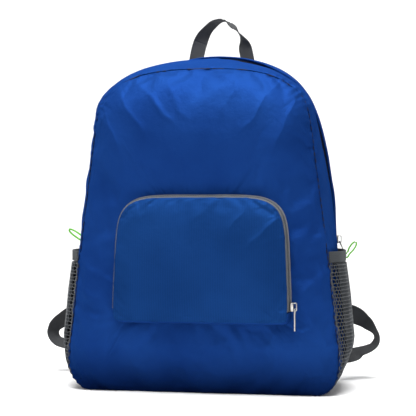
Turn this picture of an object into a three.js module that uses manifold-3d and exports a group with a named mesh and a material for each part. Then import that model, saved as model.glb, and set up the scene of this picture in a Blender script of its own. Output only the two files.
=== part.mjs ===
// A packable rucksack in thin nylon, filled and standing. It has a zipped compartment, a zipped front
// pocket, a net pocket on each side, a webbing grab handle and two shoulder straps.
// Lengths are millimetres. +Z is up, the front faces -Y, and the origin is the middle of the base.
import * as THREE from "three";
import Module from "manifold-3d";
import { mergeVertices } from "three/addons/utils/BufferGeometryUtils.js";

const wasm = await Module();
wasm.setup();

// The bag: its front seam is a little lower and wider than its back seam.
const bodyHeight = 446;
const seamDrop = 33;
const seamHeight = bodyHeight - seamDrop;
const frontHalfWidth = 174;
const seamTaper = 8;
const backHalfWidth = frontHalfWidth - seamTaper;
const bodyDepth = 150;
const panelBulge = 28;
const backBulge = 6;
const leftBulge = 11;
const rightBulge = 7;
const topBulge = 6;
const flatBaseRise = 45;
const clothWall = 1.5;
const seamGap = 0.35;

// The main zip runs over the top, near the back, and ends above the net pockets.
const zipWidth = 9;
const zipFromBack = 11;
const zipEndHeight = 186;

// The front pocket.
const pocketHalfWidth = 114;
const pocketHeight = 163;
const pocketBaseHeight = 90;
const pocketOffset = 4;
const pocketTopStand = 6;
const pocketBaseStand = 12;
const pocketBulge = 7;
const pocketFlare = 4;
const pocketZipEndHeight = 6;

// The net pockets and the elastic band along their top edge.
const netBaseHeight = 24;
const netTopHeight = 167;
const netFrontShare = 0.05;
const netBackShare = 0.89;
const netStand = 13;
const netMouthStand = 10;
const netSeat = 0.75;
const netWall = 1.2;
const bandHeight = 14;
const bandWall = 2;
const netGapsAcross = 5;
const netGapsUp = 9;
const netBarShare = 0.3;

// Webbing and straps.
const handleWebWidth = 20;
const strapWebWidth = 25;
const webThickness = 1.6;
const handleRise = 53;
const handleFootSpacing = 74;
const handleFootDrop = 22;
const padWidth = 58;
const padThickness = 8;
const padTopHeight = 408;
const padEndHeight = 172;
const padHeadSpacing = 96;
const padFootSpacing = 196;
const padStandOff = 40;
const leftLoopReach = 252;
const rightLoopReach = 216;
const webEndHeight = 36;
const webStandOff = 22;
const webEndSetback = 5;

// The strap adjusters.
const adjusterWidth = 36;
const adjusterHeight = 26;
const adjusterThickness = 4.5;
const adjusterBar = 4;

// Zip sliders and their pulls.
const sliderWidth = 9;
const sliderLength = 11;
const sliderThickness = 3.2;
const bridgeWidth = 2.4;
const bridgeWall = 1.2;
const bridgeClear = 3.2;
const pullThickness = 1.5;
const pullCrossBar = 1.6;
const pullEyeWidth = 4.6;
const pullEyeLength = 7.8;
const pullWidth = 7.4;
const pocketPullLength = 27;
const mainPullLength = 22;
const pocketSliderHeight = 24;
const mainSliderAboveBand = 7;
const loopRibbonWidth = 4;
const loopRibbonThickness = 1;

// How each main pull leans out from the bag, and how long its ribbon loop is and how steeply it rises,
// in degrees above level.
const pullRows = [
  { side: -1, label: "left", lean: 70, ribbon: 36, rise: 34 },
  { side: 1, label: "right", lean: 24, ribbon: 21, rise: 57 },
];

// How finely the cloth is divided.
const aroundCount = 56;
const pocketAroundCount = 40;

const blue = new THREE.MeshStandardMaterial({ color: 0x1a459c, roughness: 0.45, metalness: 0 });
const charcoal = new THREE.MeshStandardMaterial({ color: 0x3d4247, roughness: 0.8, metalness: 0 });
const navy = new THREE.MeshStandardMaterial({ color: 0x0a1022, roughness: 0.6, metalness: 0 });
const steel = new THREE.MeshStandardMaterial({ color: 0xb9b6b2, roughness: 0.3, metalness: 1 });
const green = new THREE.MeshStandardMaterial({ color: 0x62b32b, roughness: 0.6, metalness: 0 });
const black = new THREE.MeshStandardMaterial({ color: 0x22252a, roughness: 0.5, metalness: 0 });

// The outline of each seam, from the middle of the base to the middle of the top. Across is a share of
// that seam's half width and up a share of its height.
const seamRows = [
  { frontAcross: 0.0, frontUp: 0.0, backAcross: 0.0, backUp: 0.0 },
  { frontAcross: 0.42, frontUp: 0.0, backAcross: 0.42, backUp: 0.0 },
  { frontAcross: 0.72, frontUp: 0.0, backAcross: 0.72, backUp: 0.0 },
  { frontAcross: 0.86, frontUp: 0.0, backAcross: 0.86, backUp: 0.0 },
  { frontAcross: 0.95, frontUp: 0.022, backAcross: 0.95, backUp: 0.022 },
  { frontAcross: 0.995, frontUp: 0.07, backAcross: 0.99, backUp: 0.065 },
  { frontAcross: 1.0, frontUp: 0.13, backAcross: 1.0, backUp: 0.13 },
  { frontAcross: 0.966, frontUp: 0.24, backAcross: 0.985, backUp: 0.24 },
  { frontAcross: 0.915, frontUp: 0.44, backAcross: 0.96, backUp: 0.43 },
  { frontAcross: 0.868, frontUp: 0.6, backAcross: 0.93, backUp: 0.6 },
  { frontAcross: 0.83, frontUp: 0.72, backAcross: 0.878, backUp: 0.73 },
  { frontAcross: 0.79, frontUp: 0.85, backAcross: 0.79, backUp: 0.834 },
  { frontAcross: 0.745, frontUp: 0.905, backAcross: 0.7, backUp: 0.89 },
  { frontAcross: 0.65, frontUp: 0.945, backAcross: 0.595, backUp: 0.932 },
  { frontAcross: 0.49, frontUp: 0.98, backAcross: 0.44, backUp: 0.967 },
  { frontAcross: 0.26, frontUp: 0.998, backAcross: 0.23, backUp: 0.993 },
  { frontAcross: 0.0, frontUp: 1.0, backAcross: 0.0, backUp: 1.0 },
];

// How far the filled front panel stands out at each height, as shares of the seam height and the bulge.
const panelRows = [
  { up: 0.0, out: 0.85 },
  { up: 0.1, out: 1.0 },
  { up: 0.4, out: 0.92 },
  { up: 0.62, out: 0.88 },
  { up: 0.78, out: 1.06 },
  { up: 0.9, out: 1.08 },
  { up: 1.0, out: 0.95 },
];

// The front panel's folds: their middle as shares of the half width and seam height, their turn in
// degrees, length and width as shares of the half width, and rise as a share of the bulge.
const foldRows = [
  { across: 0.02, up: 0.635, turn: 0, length: 1.3, width: 0.13, rise: -0.26 },
  { across: 0.02, up: 0.2, turn: 0, length: 1.3, width: 0.1, rise: -0.24 },
  { across: -0.5, up: 0.88, turn: -50, length: 0.62, width: 0.1, rise: 0.15 },
  { across: -0.2, up: 0.84, turn: -56, length: 0.56, width: 0.1, rise: 0.13 },
  { across: -0.62, up: 0.75, turn: -40, length: 0.6, width: 0.1, rise: 0.13 },
  { across: 0.36, up: 0.9, turn: 64, length: 0.56, width: 0.1, rise: 0.14 },
  { across: 0.62, up: 0.79, turn: 44, length: 0.6, width: 0.1, rise: 0.13 },
  { across: -0.83, up: 0.47, turn: -30, length: 0.5, width: 0.09, rise: 0.15 },
  { across: -0.83, up: 0.34, turn: -30, length: 0.5, width: 0.09, rise: 0.15 },
  { across: -0.8, up: 0.2, turn: -34, length: 0.5, width: 0.09, rise: 0.14 },
  { across: 0.84, up: 0.48, turn: 36, length: 0.5, width: 0.09, rise: 0.14 },
  { across: 0.84, up: 0.33, turn: 32, length: 0.5, width: 0.09, rise: 0.12 },
];

// The front pocket's outline, from the middle of its base to the middle of its top.
const pocketRows = [
  { across: 0.0, up: 0.0 },
  { across: 0.45, up: 0.0 },
  { across: 0.82, up: 0.0 },
  { across: 0.95, up: 0.012 },
  { across: 1.0, up: 0.07 },
  { across: 1.0, up: 0.22 },
  { across: 0.985, up: 0.48 },
  { across: 0.97, up: 0.7 },
  { across: 0.93, up: 0.84 },
  { across: 0.83, up: 0.935 },
  { across: 0.66, up: 0.987 },
  { across: 0.4, up: 1.0 },
  { across: 0.0, up: 1.0 },
];

// The strap webbing's route: across from its adjuster to the reach of its loop, behind the bag as a share
// of its stand-off, and up from its sewn end to its adjuster.
const webRows = [
  { across: 0.2, behind: 1.0, up: 0.62 },
  { across: 0.5, behind: 0.9, up: 0.5 },
  { across: 0.8, behind: 0.7, up: 0.39 },
  { across: 0.985, behind: 0.46, up: 0.21 },
  { across: 0.955, behind: 0.28, up: 0.09 },
  { across: 0.76, behind: 0.12, up: 0.01 },
];

// How the handle's webbing turns along its length, in degrees from facing forwards.
const handleTwistRows = [
  { along: 0.0, turn: 0 },
  { along: 0.2, turn: 14 },
  { along: 0.4, turn: 66 },
  { along: 0.52, turn: 90 },
  { along: 0.6, turn: 108 },
  { along: 0.68, turn: 84 },
  { along: 0.82, turn: 16 },
  { along: 1.0, turn: 0 },
];

// The same for the strap webbing, from its adjuster to the side seam.
const webTwistRows = [
  { along: 0.0, turn: 0 },
  { along: 0.3, turn: 6 },
  { along: 0.5, turn: 40 },
  { along: 0.62, turn: 76 },
  { along: 0.78, turn: 56 },
  { along: 0.9, turn: 40 },
  { along: 1.0, turn: 8 },
];

const point = (x, y, z) => new THREE.Vector3(x, y, z);
const radians = THREE.MathUtils.degToRad;
const smooth = THREE.MathUtils.smoothstep;
const middle = point(0, 0, bodyHeight / 2);

// Reads one column of a table at a share along another, easing between the rows.
function readTable(rows, key, value, share) {
  const next = rows.findIndex((row) => row[key] >= share);
  if (next < 0) return rows.at(-1)[value];
  if (next === 0) return rows[0][value];
  const from = rows[next - 1];
  const to = rows[next];
  const eased = smooth(share, from[key], to[key]);
  return THREE.MathUtils.lerp(from[value], to[value], eased);
}

// A closed outline in the XZ plane from the right half's points, listed from base to top.
function outlineCurve(half) {
  const left = half.slice(1, -1).reverse();
  const points = half.concat(left.map((p) => point(-p.x, p.y, p.z)));
  return new THREE.CatmullRomCurve3(points, true, "catmullrom", 0.5);
}

const frontSeam = outlineCurve(
  seamRows.map((row) => point(row.frontAcross * frontHalfWidth, 0, row.frontUp * seamHeight)),
);
const backSeam = outlineCurve(
  seamRows.map((row) => point(row.backAcross * backHalfWidth, 0, row.backUp * bodyHeight)),
);
const pocketOutline = outlineCurve(
  pocketRows.map((row) => point(row.across * pocketHalfWidth, 0, row.up * pocketHeight)),
);

// A point on the side of the bag: share goes round the outline from the middle of the base, and depth
// goes from the front seam at 0 to the back seam at 1.
function sidePoint(share, depth) {
  const at = frontSeam.getUtoTmapping(share);
  const spot = frontSeam.getPoint(at).lerp(backSeam.getPoint(at), depth ** 0.85);
  const along = frontSeam.getTangent(at);
  const sideBulge = along.z < 0 ? leftBulge : rightBulge;
  const bulge = Math.hypot(along.z * sideBulge, Math.max(0, -along.x) * topBulge);
  const lifted = smooth(spot.z, 0, flatBaseRise);
  const out = bulge * lifted * Math.sin(Math.PI * Math.sqrt(depth));
  spot.addScaledVector(point(along.z, 0, -along.x), out);
  return point(spot.x, bodyDepth * (depth - 0.5), Math.max(0, spot.z));
}

// The closed body that a list of triangles makes, with its faces turned outwards.
function bodyOf(triangles) {
  let volume = 0;
  const real = triangles.filter(([a, b, c]) => {
    const area = b.clone().sub(a).cross(c.clone().sub(a)).length();
    volume += a.dot(b.clone().cross(c)) / 6;
    return area > 1e-7;
  });
  const corners = real.flatMap(([a, b, c]) => (volume < 0 ? [a, c, b] : [a, b, c]));
  return new THREE.BufferGeometry().setFromPoints(corners);
}

const quad = (a, b, c, d) => [
  [a, b, c],
  [a, c, d],
];

// A cloth wall between an outer and an inner grid of points, grid[row][column], with its edges closed.
// open(row, column) says which cells are holes.
function wallBetween(outer, inner, closed, open = () => false) {
  const rows = outer.length - 1;
  const count = outer[0].length;
  const columns = closed ? count : count - 1;
  const isHole = (r, c) =>
    r < 0 || r >= rows || (!closed && (c < 0 || c >= columns)) || open(r, (c + columns) % columns);
  const triangles = [];
  for (let r = 0; r < rows; r++) {
    for (let c = 0; c < columns; c++) {
      if (isHole(r, c)) continue;
      const d = (c + 1) % count;
      const [a0, a1, a2, a3] = [outer[r][c], outer[r][d], outer[r + 1][d], outer[r + 1][c]];
      const [b0, b1, b2, b3] = [inner[r][c], inner[r][d], inner[r + 1][d], inner[r + 1][c]];
      triangles.push(...quad(a0, a1, a2, a3), ...quad(b3, b2, b1, b0));
      if (isHole(r - 1, c)) triangles.push(...quad(a1, a0, b0, b1));
      if (isHole(r + 1, c)) triangles.push(...quad(a3, a2, b2, b3));
      if (isHole(r, c - 1)) triangles.push(...quad(a0, a3, b3, b0));
      if (isHole(r, c + 1)) triangles.push(...quad(a2, a1, b1, b2));
    }
  }
  return bodyOf(triangles);
}

// The inner face of a cloth wall. Rows in the set flush are cut square to the depth of the bag.
function insetGrid(outer, closed, thickness, flush = new Set(), pole = null) {
  const last = outer.length - 1;
  const count = outer[0].length;
  return outer.map((row, r) =>
    row.map((p, c) => {
      const before = closed ? row[(c + count - 1) % count] : row[Math.max(0, c - 1)];
      const after = closed ? row[(c + 1) % count] : row[Math.min(count - 1, c + 1)];
      const below = outer[Math.max(0, r - 1)][c];
      const above = outer[Math.min(last, r + 1)][c];
      const normal = after.clone().sub(before).cross(above.clone().sub(below));
      if (normal.length() < 1e-6) normal.copy(pole);
      if (flush.has(r)) normal.y = 0;
      normal.normalize();
      if (normal.dot(p.clone().sub(middle)) < 0) normal.negate();
      return p.clone().addScaledVector(normal, -thickness);
    }),
  );
}

// How far a body lies along a ray, from the outside in.
function distanceTo(geometry, from, direction) {
  const target = new THREE.Mesh(geometry, new THREE.MeshBasicMaterial({ side: THREE.DoubleSide }));
  const hits = new THREE.Raycaster(from, direction).intersectObject(target);
  return hits.length ? hits[0].distance : Infinity;
}

// Shares of a closed outline, closer together where it turns.
function sharesByTurn(curve, count) {
  const steps = 800;
  const sums = [0];
  for (let i = 0; i < steps; i++) {
    const turn = curve.getTangentAt(i / steps).angleTo(curve.getTangentAt((i + 1) / steps));
    sums.push(sums[i] + 1 / steps + turn / (3 * Math.PI));
  }
  return Array.from({ length: count }, (_, i) => {
    const target = ((i + 0.5) / count) * sums[steps];
    const next = sums.findIndex((sum) => sum >= target);
    return (next - (sums[next] - target) / (sums[next] - sums[next - 1])) / steps;
  });
}

// Front panel: a filled cloth face, from the front seam to its middle.
const shares = sharesByTurn(frontSeam, aroundCount);
const seamRing = shares.map((share) => sidePoint(share, 0));
const panelMiddle = point(0, 0, seamHeight * 0.48);

// 0 in the middle of the front panel and 1 at its seam.
function shareToSeam(x, z) {
  const away = point(x - panelMiddle.x, 0, z - panelMiddle.z);
  if (away.length() < 1e-6) return 0;
  for (let i = 0; i < seamRing.length; i++) {
    const a = seamRing[i];
    const b = seamRing[(i + 1) % seamRing.length];
    const edge = point(b.x - a.x, 0, b.z - a.z);
    const start = point(a.x - panelMiddle.x, 0, a.z - panelMiddle.z);
    const cross = away.x * edge.z - away.z * edge.x;
    const reach = (start.x * edge.z - start.z * edge.x) / cross;
    const across = (start.x * away.z - start.z * away.x) / cross;
    if (reach > 0 && across > -1e-6 && across < 1 + 1e-6) return Math.min(1, 1 / reach);
  }
  return 1;
}

// The sum of the folds at a point of the front panel, as a share of its bulge.
function foldsAt(x, z) {
  return foldRows.reduce((sum, fold) => {
    const turn = radians(fold.turn);
    const dx = x / frontHalfWidth - fold.across;
    const dz = (z - fold.up * seamHeight) / frontHalfWidth;
    const along = (dx * Math.cos(turn) + dz * Math.sin(turn)) / (fold.length / 2);
    const beside = (dz * Math.cos(turn) - dx * Math.sin(turn)) / fold.width;
    return sum + fold.rise * Math.exp(-(along ** 4)) * Math.exp(-(beside ** 2));
  }, 0);
}

function panelPoint(x, z) {
  const share = shareToSeam(x, z);
  const shoulder = Math.max(0, 1 - share ** 3.4) ** 0.6;
  const out = readTable(panelRows, "up", "out", z / seamHeight) + foldsAt(x, z);
  return point(x, -bodyDepth / 2 - panelBulge * shoulder * out, z);
}

const panelShares = [1, 0.985, 0.95, 0.895, 0.83, 0.75, 0.665, 0.57, 0.47, 0.36, 0.24, 0.12, 0];
const panelOuter = panelShares.map((share) =>
  seamRing.map((edge) => {
    const x = THREE.MathUtils.lerp(panelMiddle.x, edge.x, share);
    const z = THREE.MathUtils.lerp(panelMiddle.z, edge.z, share);
    return share === 1 ? edge.clone() : panelPoint(x, z);
  }),
);
const forwards = point(0, -1, 0);
const backwards = point(0, 1, 0);
const panelInner = insetGrid(panelOuter, true, clothWall, new Set([0]), forwards);
const frontPanel = wallBetween(panelOuter, panelInner, true);

// Gusset: the side wall and base. Its rear edge steps forward where the main zip is.
const gapShare = seamGap / bodyDepth;
const zipFront = 1 - (zipFromBack + zipWidth) / bodyDepth;
const zipBack = 1 - zipFromBack / bodyDepth;

// The share of the outline at which the side of the bag reaches a height, on the right.
function shareAtHeight(height, depth) {
  let low = 0.15;
  let high = 0.45;
  for (let i = 0; i < 30; i++) {
    const share = (low + high) / 2;
    if (sidePoint(share, depth).z < height) low = share;
    else high = share;
  }
  return low;
}

const zipEnd = shareAtHeight(zipEndHeight, zipBack);
const stepShare = 0.0006;
const onZip = (share) => share > zipEnd && share < 1 - zipEnd;
const gussetShares = shares
  .filter((share) => Math.abs(share - zipEnd) > 4 * stepShare && Math.abs(1 - share - zipEnd) > 4 * stepShare)
  .concat([zipEnd - stepShare, zipEnd + stepShare, 1 - zipEnd - stepShare, 1 - zipEnd + stepShare])
  .sort((a, b) => a - b);
const gussetSteps = [0, 0.05, 0.18, 0.38, 0.62, 0.84, 1];
const gussetOuter = gussetSteps.map((step) =>
  gussetShares.map((share) => {
    const rear = onZip(share) ? zipFront - gapShare : zipBack - gapShare;
    return sidePoint(share, THREE.MathUtils.lerp(gapShare, rear, step));
  }),
);
const gussetRims = new Set([0, gussetSteps.length - 1]);
const gusset = wallBetween(gussetOuter, insetGrid(gussetOuter, true, clothWall, gussetRims), true);

// Main zip: a band of tape and coil that fills the step in the gusset.
const zipShares = [zipEnd + 3 * stepShare]
  .concat(shares.filter((share) => share > zipEnd + 0.004 && share < 1 - zipEnd - 0.004))
  .concat([1 - zipEnd - 3 * stepShare]);
const zipOuter = [zipFront, zipBack - gapShare].map((depth) =>
  zipShares.map((share) => sidePoint(share, depth)),
);
const mainZip = wallBetween(zipOuter, insetGrid(zipOuter, false, clothWall, new Set([0, 1])), false);

// Back panel: the strip behind the zip and the face that lies on the wearer's back.
const backMiddle = point(0, 0, bodyHeight * 0.48);
const backShares = [0.93, 0.7, 0.35, 0];
const backRing = shares.map((share) => sidePoint(share, 1));
const backOuter = [shares.map((share) => sidePoint(share, zipBack)), backRing].concat(
  backShares.map((share) =>
    backRing.map((edge) => {
      const spot = backMiddle.clone().lerp(edge, share);
      const out = backBulge * (1 - share ** 3);
      return point(spot.x, bodyDepth / 2 + out, Math.max(0, spot.z));
    }),
  ),
);
const backPanel = wallBetween(
  backOuter,
  insetGrid(backOuter, true, clothWall, new Set([0]), backwards),
  true,
);

// Front pocket: a domed face, a zip band up, over and down its sides, and a cloth wall along its base.
const pocketShares = sharesByTurn(pocketOutline, pocketAroundCount);

function pocketEdge(share, inset) {
  const at = pocketOutline.getUtoTmapping(share);
  const spot = pocketOutline.getPoint(at);
  const along = pocketOutline.getTangent(at);
  spot.addScaledVector(point(along.z, 0, -along.x), -inset);
  return point(spot.x + pocketOffset, 0, spot.z + pocketBaseHeight);
}

function pocketFaceDepth(z) {
  const up = (z - pocketBaseHeight) / pocketHeight;
  const stand = THREE.MathUtils.lerp(pocketBaseStand, pocketTopStand, up);
  return -bodyDepth / 2 - panelBulge - stand;
}

// How far forward the front panel comes under a stretch of the pocket's wall.
function panelUnder(around) {
  const steps = [-1, -0.5, 0, 0.5, 1].map((step) => step / pocketAroundCount);
  const nearby = steps.flatMap((step) =>
    [-0.5, 0.5, 1.5].map((share) => pocketEdge((around + step + 1) % 1, share * clothWall)),
  );
  return Math.min(
    ...nearby.map((spot) => {
      const start = point(spot.x, -2 * bodyDepth, spot.z);
      return start.y + distanceTo(frontPanel, start, backwards);
    }),
  );
}

const faceMiddle = point(pocketOffset, 0, pocketBaseHeight + pocketHeight * 0.48);
const faceShares = [1, 0.94, 0.84, 0.66, 0.44, 0.22, 0];
const faceOuter = faceShares.map((share) =>
  pocketShares.map((around) => {
    const edge = pocketEdge(around, pocketFlare);
    const spot = faceMiddle.clone().lerp(edge, share);
    const out = pocketBulge * Math.max(0, 1 - share ** 2.6) ** 0.8;
    return point(spot.x, pocketFaceDepth(spot.z) - out, spot.z);
  }),
);
const faceInner = insetGrid(faceOuter, true, clothWall, new Set([0]), forwards);
const pocketFace = wallBetween(faceOuter, faceInner, true);

// A stretch of the pocket's side wall, from the front panel to the pocket's face.
function pocketBand(aroundShares) {
  const outer = [0, 1].map((step) =>
    aroundShares.map((around) => {
      const foot = pocketEdge(around, 0);
      const rim = pocketEdge(around, pocketFlare);
      const spot = foot.clone().lerp(rim, step);
      const start = panelUnder(around) - seamGap;
      const end = pocketFaceDepth(rim.z) + seamGap;
      return point(spot.x, THREE.MathUtils.lerp(start, end, step), spot.z);
    }),
  );
  return wallBetween(outer, insetGrid(outer, false, clothWall, new Set([0, 1])), false);
}

function pocketShareAtHeight(height) {
  let low = 0.15;
  let high = 0.4;
  for (let i = 0; i < 30; i++) {
    const share = (low + high) / 2;
    if (pocketEdge(share, 0).z < pocketBaseHeight + height) low = share;
    else high = share;
  }
  return low;
}

const pocketZipEnd = pocketShareAtHeight(pocketZipEndHeight + pocketRows[4].up * pocketHeight);
const pocketGapShare = seamGap / pocketOutline.getLength();
const pocketZipShares = [pocketZipEnd + pocketGapShare]
  .concat(pocketShares.filter((share) => share > pocketZipEnd + 0.008 && share < 1 - pocketZipEnd - 0.008))
  .concat([1 - pocketZipEnd - pocketGapShare]);
const pocketZip = pocketBand(pocketZipShares);
const baseEnd = pocketZipEnd - pocketGapShare;
const pocketBaseShares = pocketShares
  .map((share) => (share > 0.5 ? share - 1 : share))
  .filter((share) => Math.abs(share) < baseEnd - 0.008)
  .concat([-baseEnd, baseEnd])
  .sort((a, b) => a - b)
  .map((share) => (share + 1) % 1);
const pocketBase = pocketBand(pocketBaseShares);

// Net pockets: a lattice that stands off the gusset, and an elastic band along its open mouth.
function onGusset(side, depth, z) {
  const start = point(side * 3 * frontHalfWidth, bodyDepth * (depth - 0.5), z);
  const inwards = point(-side, 0, 0);
  return Math.abs(start.x) - distanceTo(gusset, start, inwards);
}

function netStandAt(depth, z) {
  const across = (depth - netFrontShare) / (netBackShare - netFrontShare);
  const up = (z - netBaseHeight) / (netTopHeight + bandHeight - netBaseHeight);
  const bow = Math.sin(Math.PI * THREE.MathUtils.clamp(across, 0, 1)) ** 0.6;
  const filled = smooth(up, 0, 0.3) * THREE.MathUtils.lerp(netStand, netMouthStand, smooth(up, 0.6, 1));
  return netSeat + bow * filled;
}

// A patch over the side of the bag, between two heights.
function sidePatch(side, depths, heights, thickness, open) {
  const grid = (extra) =>
    heights.map((z) =>
      depths.map((depth) => {
        const x = onGusset(side, depth, z) + netStandAt(depth, z) + extra;
        return point(side * x, bodyDepth * (depth - 0.5), z);
      }),
    );
  return wallBetween(grid(thickness), grid(0), false, open);
}

// Grid lines that leave a bar between one gap and the next.
function latticeLines(from, to, gaps) {
  const cell = (to - from) / (gaps + netBarShare);
  const lines = [];
  for (let i = 0; i <= gaps; i++) {
    lines.push(from + i * cell, from + (i + netBarShare) * cell);
  }
  return lines;
}

const netDepths = latticeLines(netFrontShare, netBackShare, netGapsAcross);
const netHeights = latticeLines(netBaseHeight, netTopHeight, netGapsUp);
const inGap = (r, c) => r % 2 === 1 && c % 2 === 1;
const bandDepths = Array.from({ length: 9 }, (_, i) =>
  THREE.MathUtils.lerp(netFrontShare, netBackShare, i / 8),
);
const bandHeights = [netTopHeight + seamGap, netTopHeight + bandHeight];

// A flat strip swept along a curve. twist(share) turns it from facing forwards, in degrees.
function strip(curve, count, width, thickness, twist, closed = false, flat = forwards) {
  const stations = closed ? count : count + 1;
  const sections = Array.from({ length: stations }, (_, i) => {
    const share = i / count;
    const centre = curve.getPointAt(share);
    const along = curve.getTangentAt(share);
    const across = along.clone().cross(flat).normalize();
    across.applyAxisAngle(along, radians(twist(share)));
    const through = along.clone().cross(across).normalize();
    return [
      [-1, -1],
      [1, -1],
      [1, 1],
      [-1, 1],
    ].map(([a, b]) =>
      centre
        .clone()
        .addScaledVector(across, (a * width) / 2)
        .addScaledVector(through, (b * thickness) / 2),
    );
  });
  const triangles = [];
  for (let i = 0; i < count; i++) {
    const a = sections[i];
    const b = sections[(i + 1) % stations];
    for (let k = 0; k < 4; k++) triangles.push(...quad(a[k], a[(k + 1) % 4], b[(k + 1) % 4], b[k]));
  }
  if (!closed) {
    const [a, b] = [sections[0], sections[count]];
    triangles.push(...quad(a[3], a[2], a[1], a[0]), ...quad(b[0], b[1], b[2], b[3]));
  }
  return bodyOf(triangles);
}

function onBack(x, z) {
  const start = point(x, 2 * bodyDepth, z);
  return start.y - distanceTo(backPanel, start, forwards);
}

// Grab handle: an arch of webbing whose feet are sewn to the back panel, below the top seam.
const handleCurve = (() => {
  const foot = handleFootSpacing / 2;
  const footHeight = bodyHeight - handleFootDrop;
  const top = bodyHeight + handleRise;
  const rows = [
    { across: 1.0, height: footHeight },
    { across: 0.97, height: bodyHeight },
    { across: 0.74, height: bodyHeight + handleRise * 0.55 },
    { across: 0.32, height: top - handleRise * 0.1 },
  ];
  const seat = seamGap + webThickness / 2;
  const clear = Math.max(onBack(foot, footHeight), bodyDepth / 2) + seat;
  const right = rows.map((row) => point(row.across * foot, clear, row.height));
  const left = right.map((p) => point(-p.x, p.y, p.z));
  return new THREE.CatmullRomCurve3([...left, point(0.06 * foot, clear, top), ...right.reverse()]);
})();
const handleTwist = (share) => readTable(handleTwistRows, "along", "turn", share);
const handle = strip(handleCurve, 26, handleWebWidth, webThickness, handleTwist);

// Shoulder pads: padded straps from the top of the back panel to the adjusters. The rows hold shares of
// the spacing, drop and stand-off, and the pad's own width.
const padRows = [
  { down: 0.0, across: 0.0, off: 0.0, wide: 0.82 },
  { down: 0.08, across: 0.01, off: 0.06, wide: 0.9 },
  { down: 0.25, across: 0.14, off: 0.62, wide: 1.0 },
  { down: 0.5, across: 0.48, off: 1.0, wide: 1.0 },
  { down: 0.75, across: 0.82, off: 0.84, wide: 0.92 },
  { down: 1.0, across: 1.0, off: 0.52, wide: 0.7 },
];

function padSpot(side, row) {
  const x = THREE.MathUtils.lerp(padHeadSpacing, padFootSpacing, row.across) / 2;
  const z = THREE.MathUtils.lerp(padTopHeight, padEndHeight, row.down);
  const seat = onBack(padHeadSpacing / 2, padTopHeight) + seamGap + padThickness / 2;
  return point(side * x, seat + padStandOff * row.off, z);
}

const padSection = [
  { across: -1, through: 0 },
  { across: -0.9, through: -0.8 },
  { across: -0.5, through: -1 },
  { across: 0.5, through: -1 },
  { across: 0.9, through: -0.8 },
  { across: 1, through: 0 },
  { across: 0.9, through: 0.8 },
  { across: 0.5, through: 1 },
  { across: -0.5, through: 1 },
  { across: -0.9, through: 0.8 },
];

const padCurve = (side) => new THREE.CatmullRomCurve3(padRows.map((row) => padSpot(side, row)));

function shoulderPad(side) {
  const curve = padCurve(side);
  const count = 14;
  const sections = Array.from({ length: count + 1 }, (_, i) => {
    const at = i / count;
    const down = at * (padRows.length - 1);
    const row = Math.min(padRows.length - 2, Math.floor(down));
    const wide = THREE.MathUtils.lerp(padRows[row].wide, padRows[row + 1].wide, down - row);
    const along = curve.getTangent(at);
    const across = along.clone().cross(backwards).normalize();
    const through = along.clone().cross(across).normalize();
    return padSection.map((corner) =>
      curve
        .getPoint(at)
        .addScaledVector(across, (corner.across * wide * padWidth) / 2)
        .addScaledVector(through, (corner.through * padThickness) / 2),
    );
  });
  const triangles = [];
  const corners = padSection.length;
  for (let i = 0; i < count; i++) {
    for (let k = 0; k < corners; k++) {
      const next = (k + 1) % corners;
      triangles.push(
        ...quad(sections[i][k], sections[i][next], sections[i + 1][next], sections[i + 1][k]),
      );
    }
  }
  for (let k = 1; k < corners - 1; k++) {
    const [a, b] = [sections[0], sections[count]];
    triangles.push([a[0], a[k + 1], a[k]], [b[0], b[k], b[k + 1]]);
  }
  return bodyOf(triangles);
}

// A solid for manifold-3d from a geometry, and back.
function solidOf(geometry) {
  const bare = geometry.index ? geometry.toNonIndexed() : geometry.clone();
  bare.deleteAttribute("normal");
  bare.deleteAttribute("uv");
  const merged = mergeVertices(bare, 1e-4);
  return new wasm.Manifold(
    new wasm.Mesh({
      numProp: 3,
      vertProperties: merged.attributes.position.array,
      triVerts: new Uint32Array(merged.index.array),
    }),
  );
}

function geometryOf(solid) {
  const mesh = solid.getMesh();
  return new THREE.BufferGeometry()
    .setAttribute("position", new THREE.BufferAttribute(new Float32Array(mesh.vertProperties), 3))
    .setIndex(new THREE.BufferAttribute(new Uint32Array(mesh.triVerts), 1));
}

const rectangle = (x0, y0, x1, y1) => [
  new THREE.Vector2(x0, y0),
  new THREE.Vector2(x1, y0),
  new THREE.Vector2(x1, y1),
  new THREE.Vector2(x0, y1),
];

// A flat plate with square holes, centred through its thickness on the plane of its outline.
function plate(outline, holes, thickness) {
  const shape = new THREE.Shape(outline);
  shape.holes = holes.map((hole) => new THREE.Path(hole));
  return new THREE.ExtrudeGeometry(shape, { depth: thickness, bevelEnabled: false }).translate(
    0,
    0,
    -thickness / 2,
  );
}

// Strap adjuster: a frame with three bars. Its own axes are across, up and through.
function adjusterFrame() {
  const side = 4.5;
  const w = adjusterWidth / 2;
  const h = adjusterHeight / 2;
  const corner = 3;
  const outline = [
    [-w, -h + corner],
    [-w + corner, -h],
    [w - corner, -h],
    [w, -h + corner],
    [w, h - corner],
    [w - corner, h],
    [-w + corner, h],
    [-w, h - corner],
  ].map(([x, y]) => new THREE.Vector2(x, y));
  const slot = (adjusterHeight - 3 * adjusterBar) / 2;
  const holes = [-1, 1].map((end) => {
    const near = (end * adjusterBar) / 2;
    const far = near + end * slot;
    return rectangle(-w + side, Math.min(near, far), w - side, Math.max(near, far));
  });
  return plate(outline, holes, adjusterThickness);
}

// Where an adjuster sits: square to the end of its pad.
function adjusterFrameMatrix(side) {
  const curve = padCurve(side);
  const up = curve.getTangent(1).negate();
  const through = point(0, 1, 0).addScaledVector(up, -up.y).normalize();
  const across = up.clone().cross(through);
  const centre = curve.getPoint(1).addScaledVector(up, -seamGap - adjusterHeight / 2);
  return new THREE.Matrix4().makeBasis(across, up, through).setPosition(centre);
}

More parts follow.
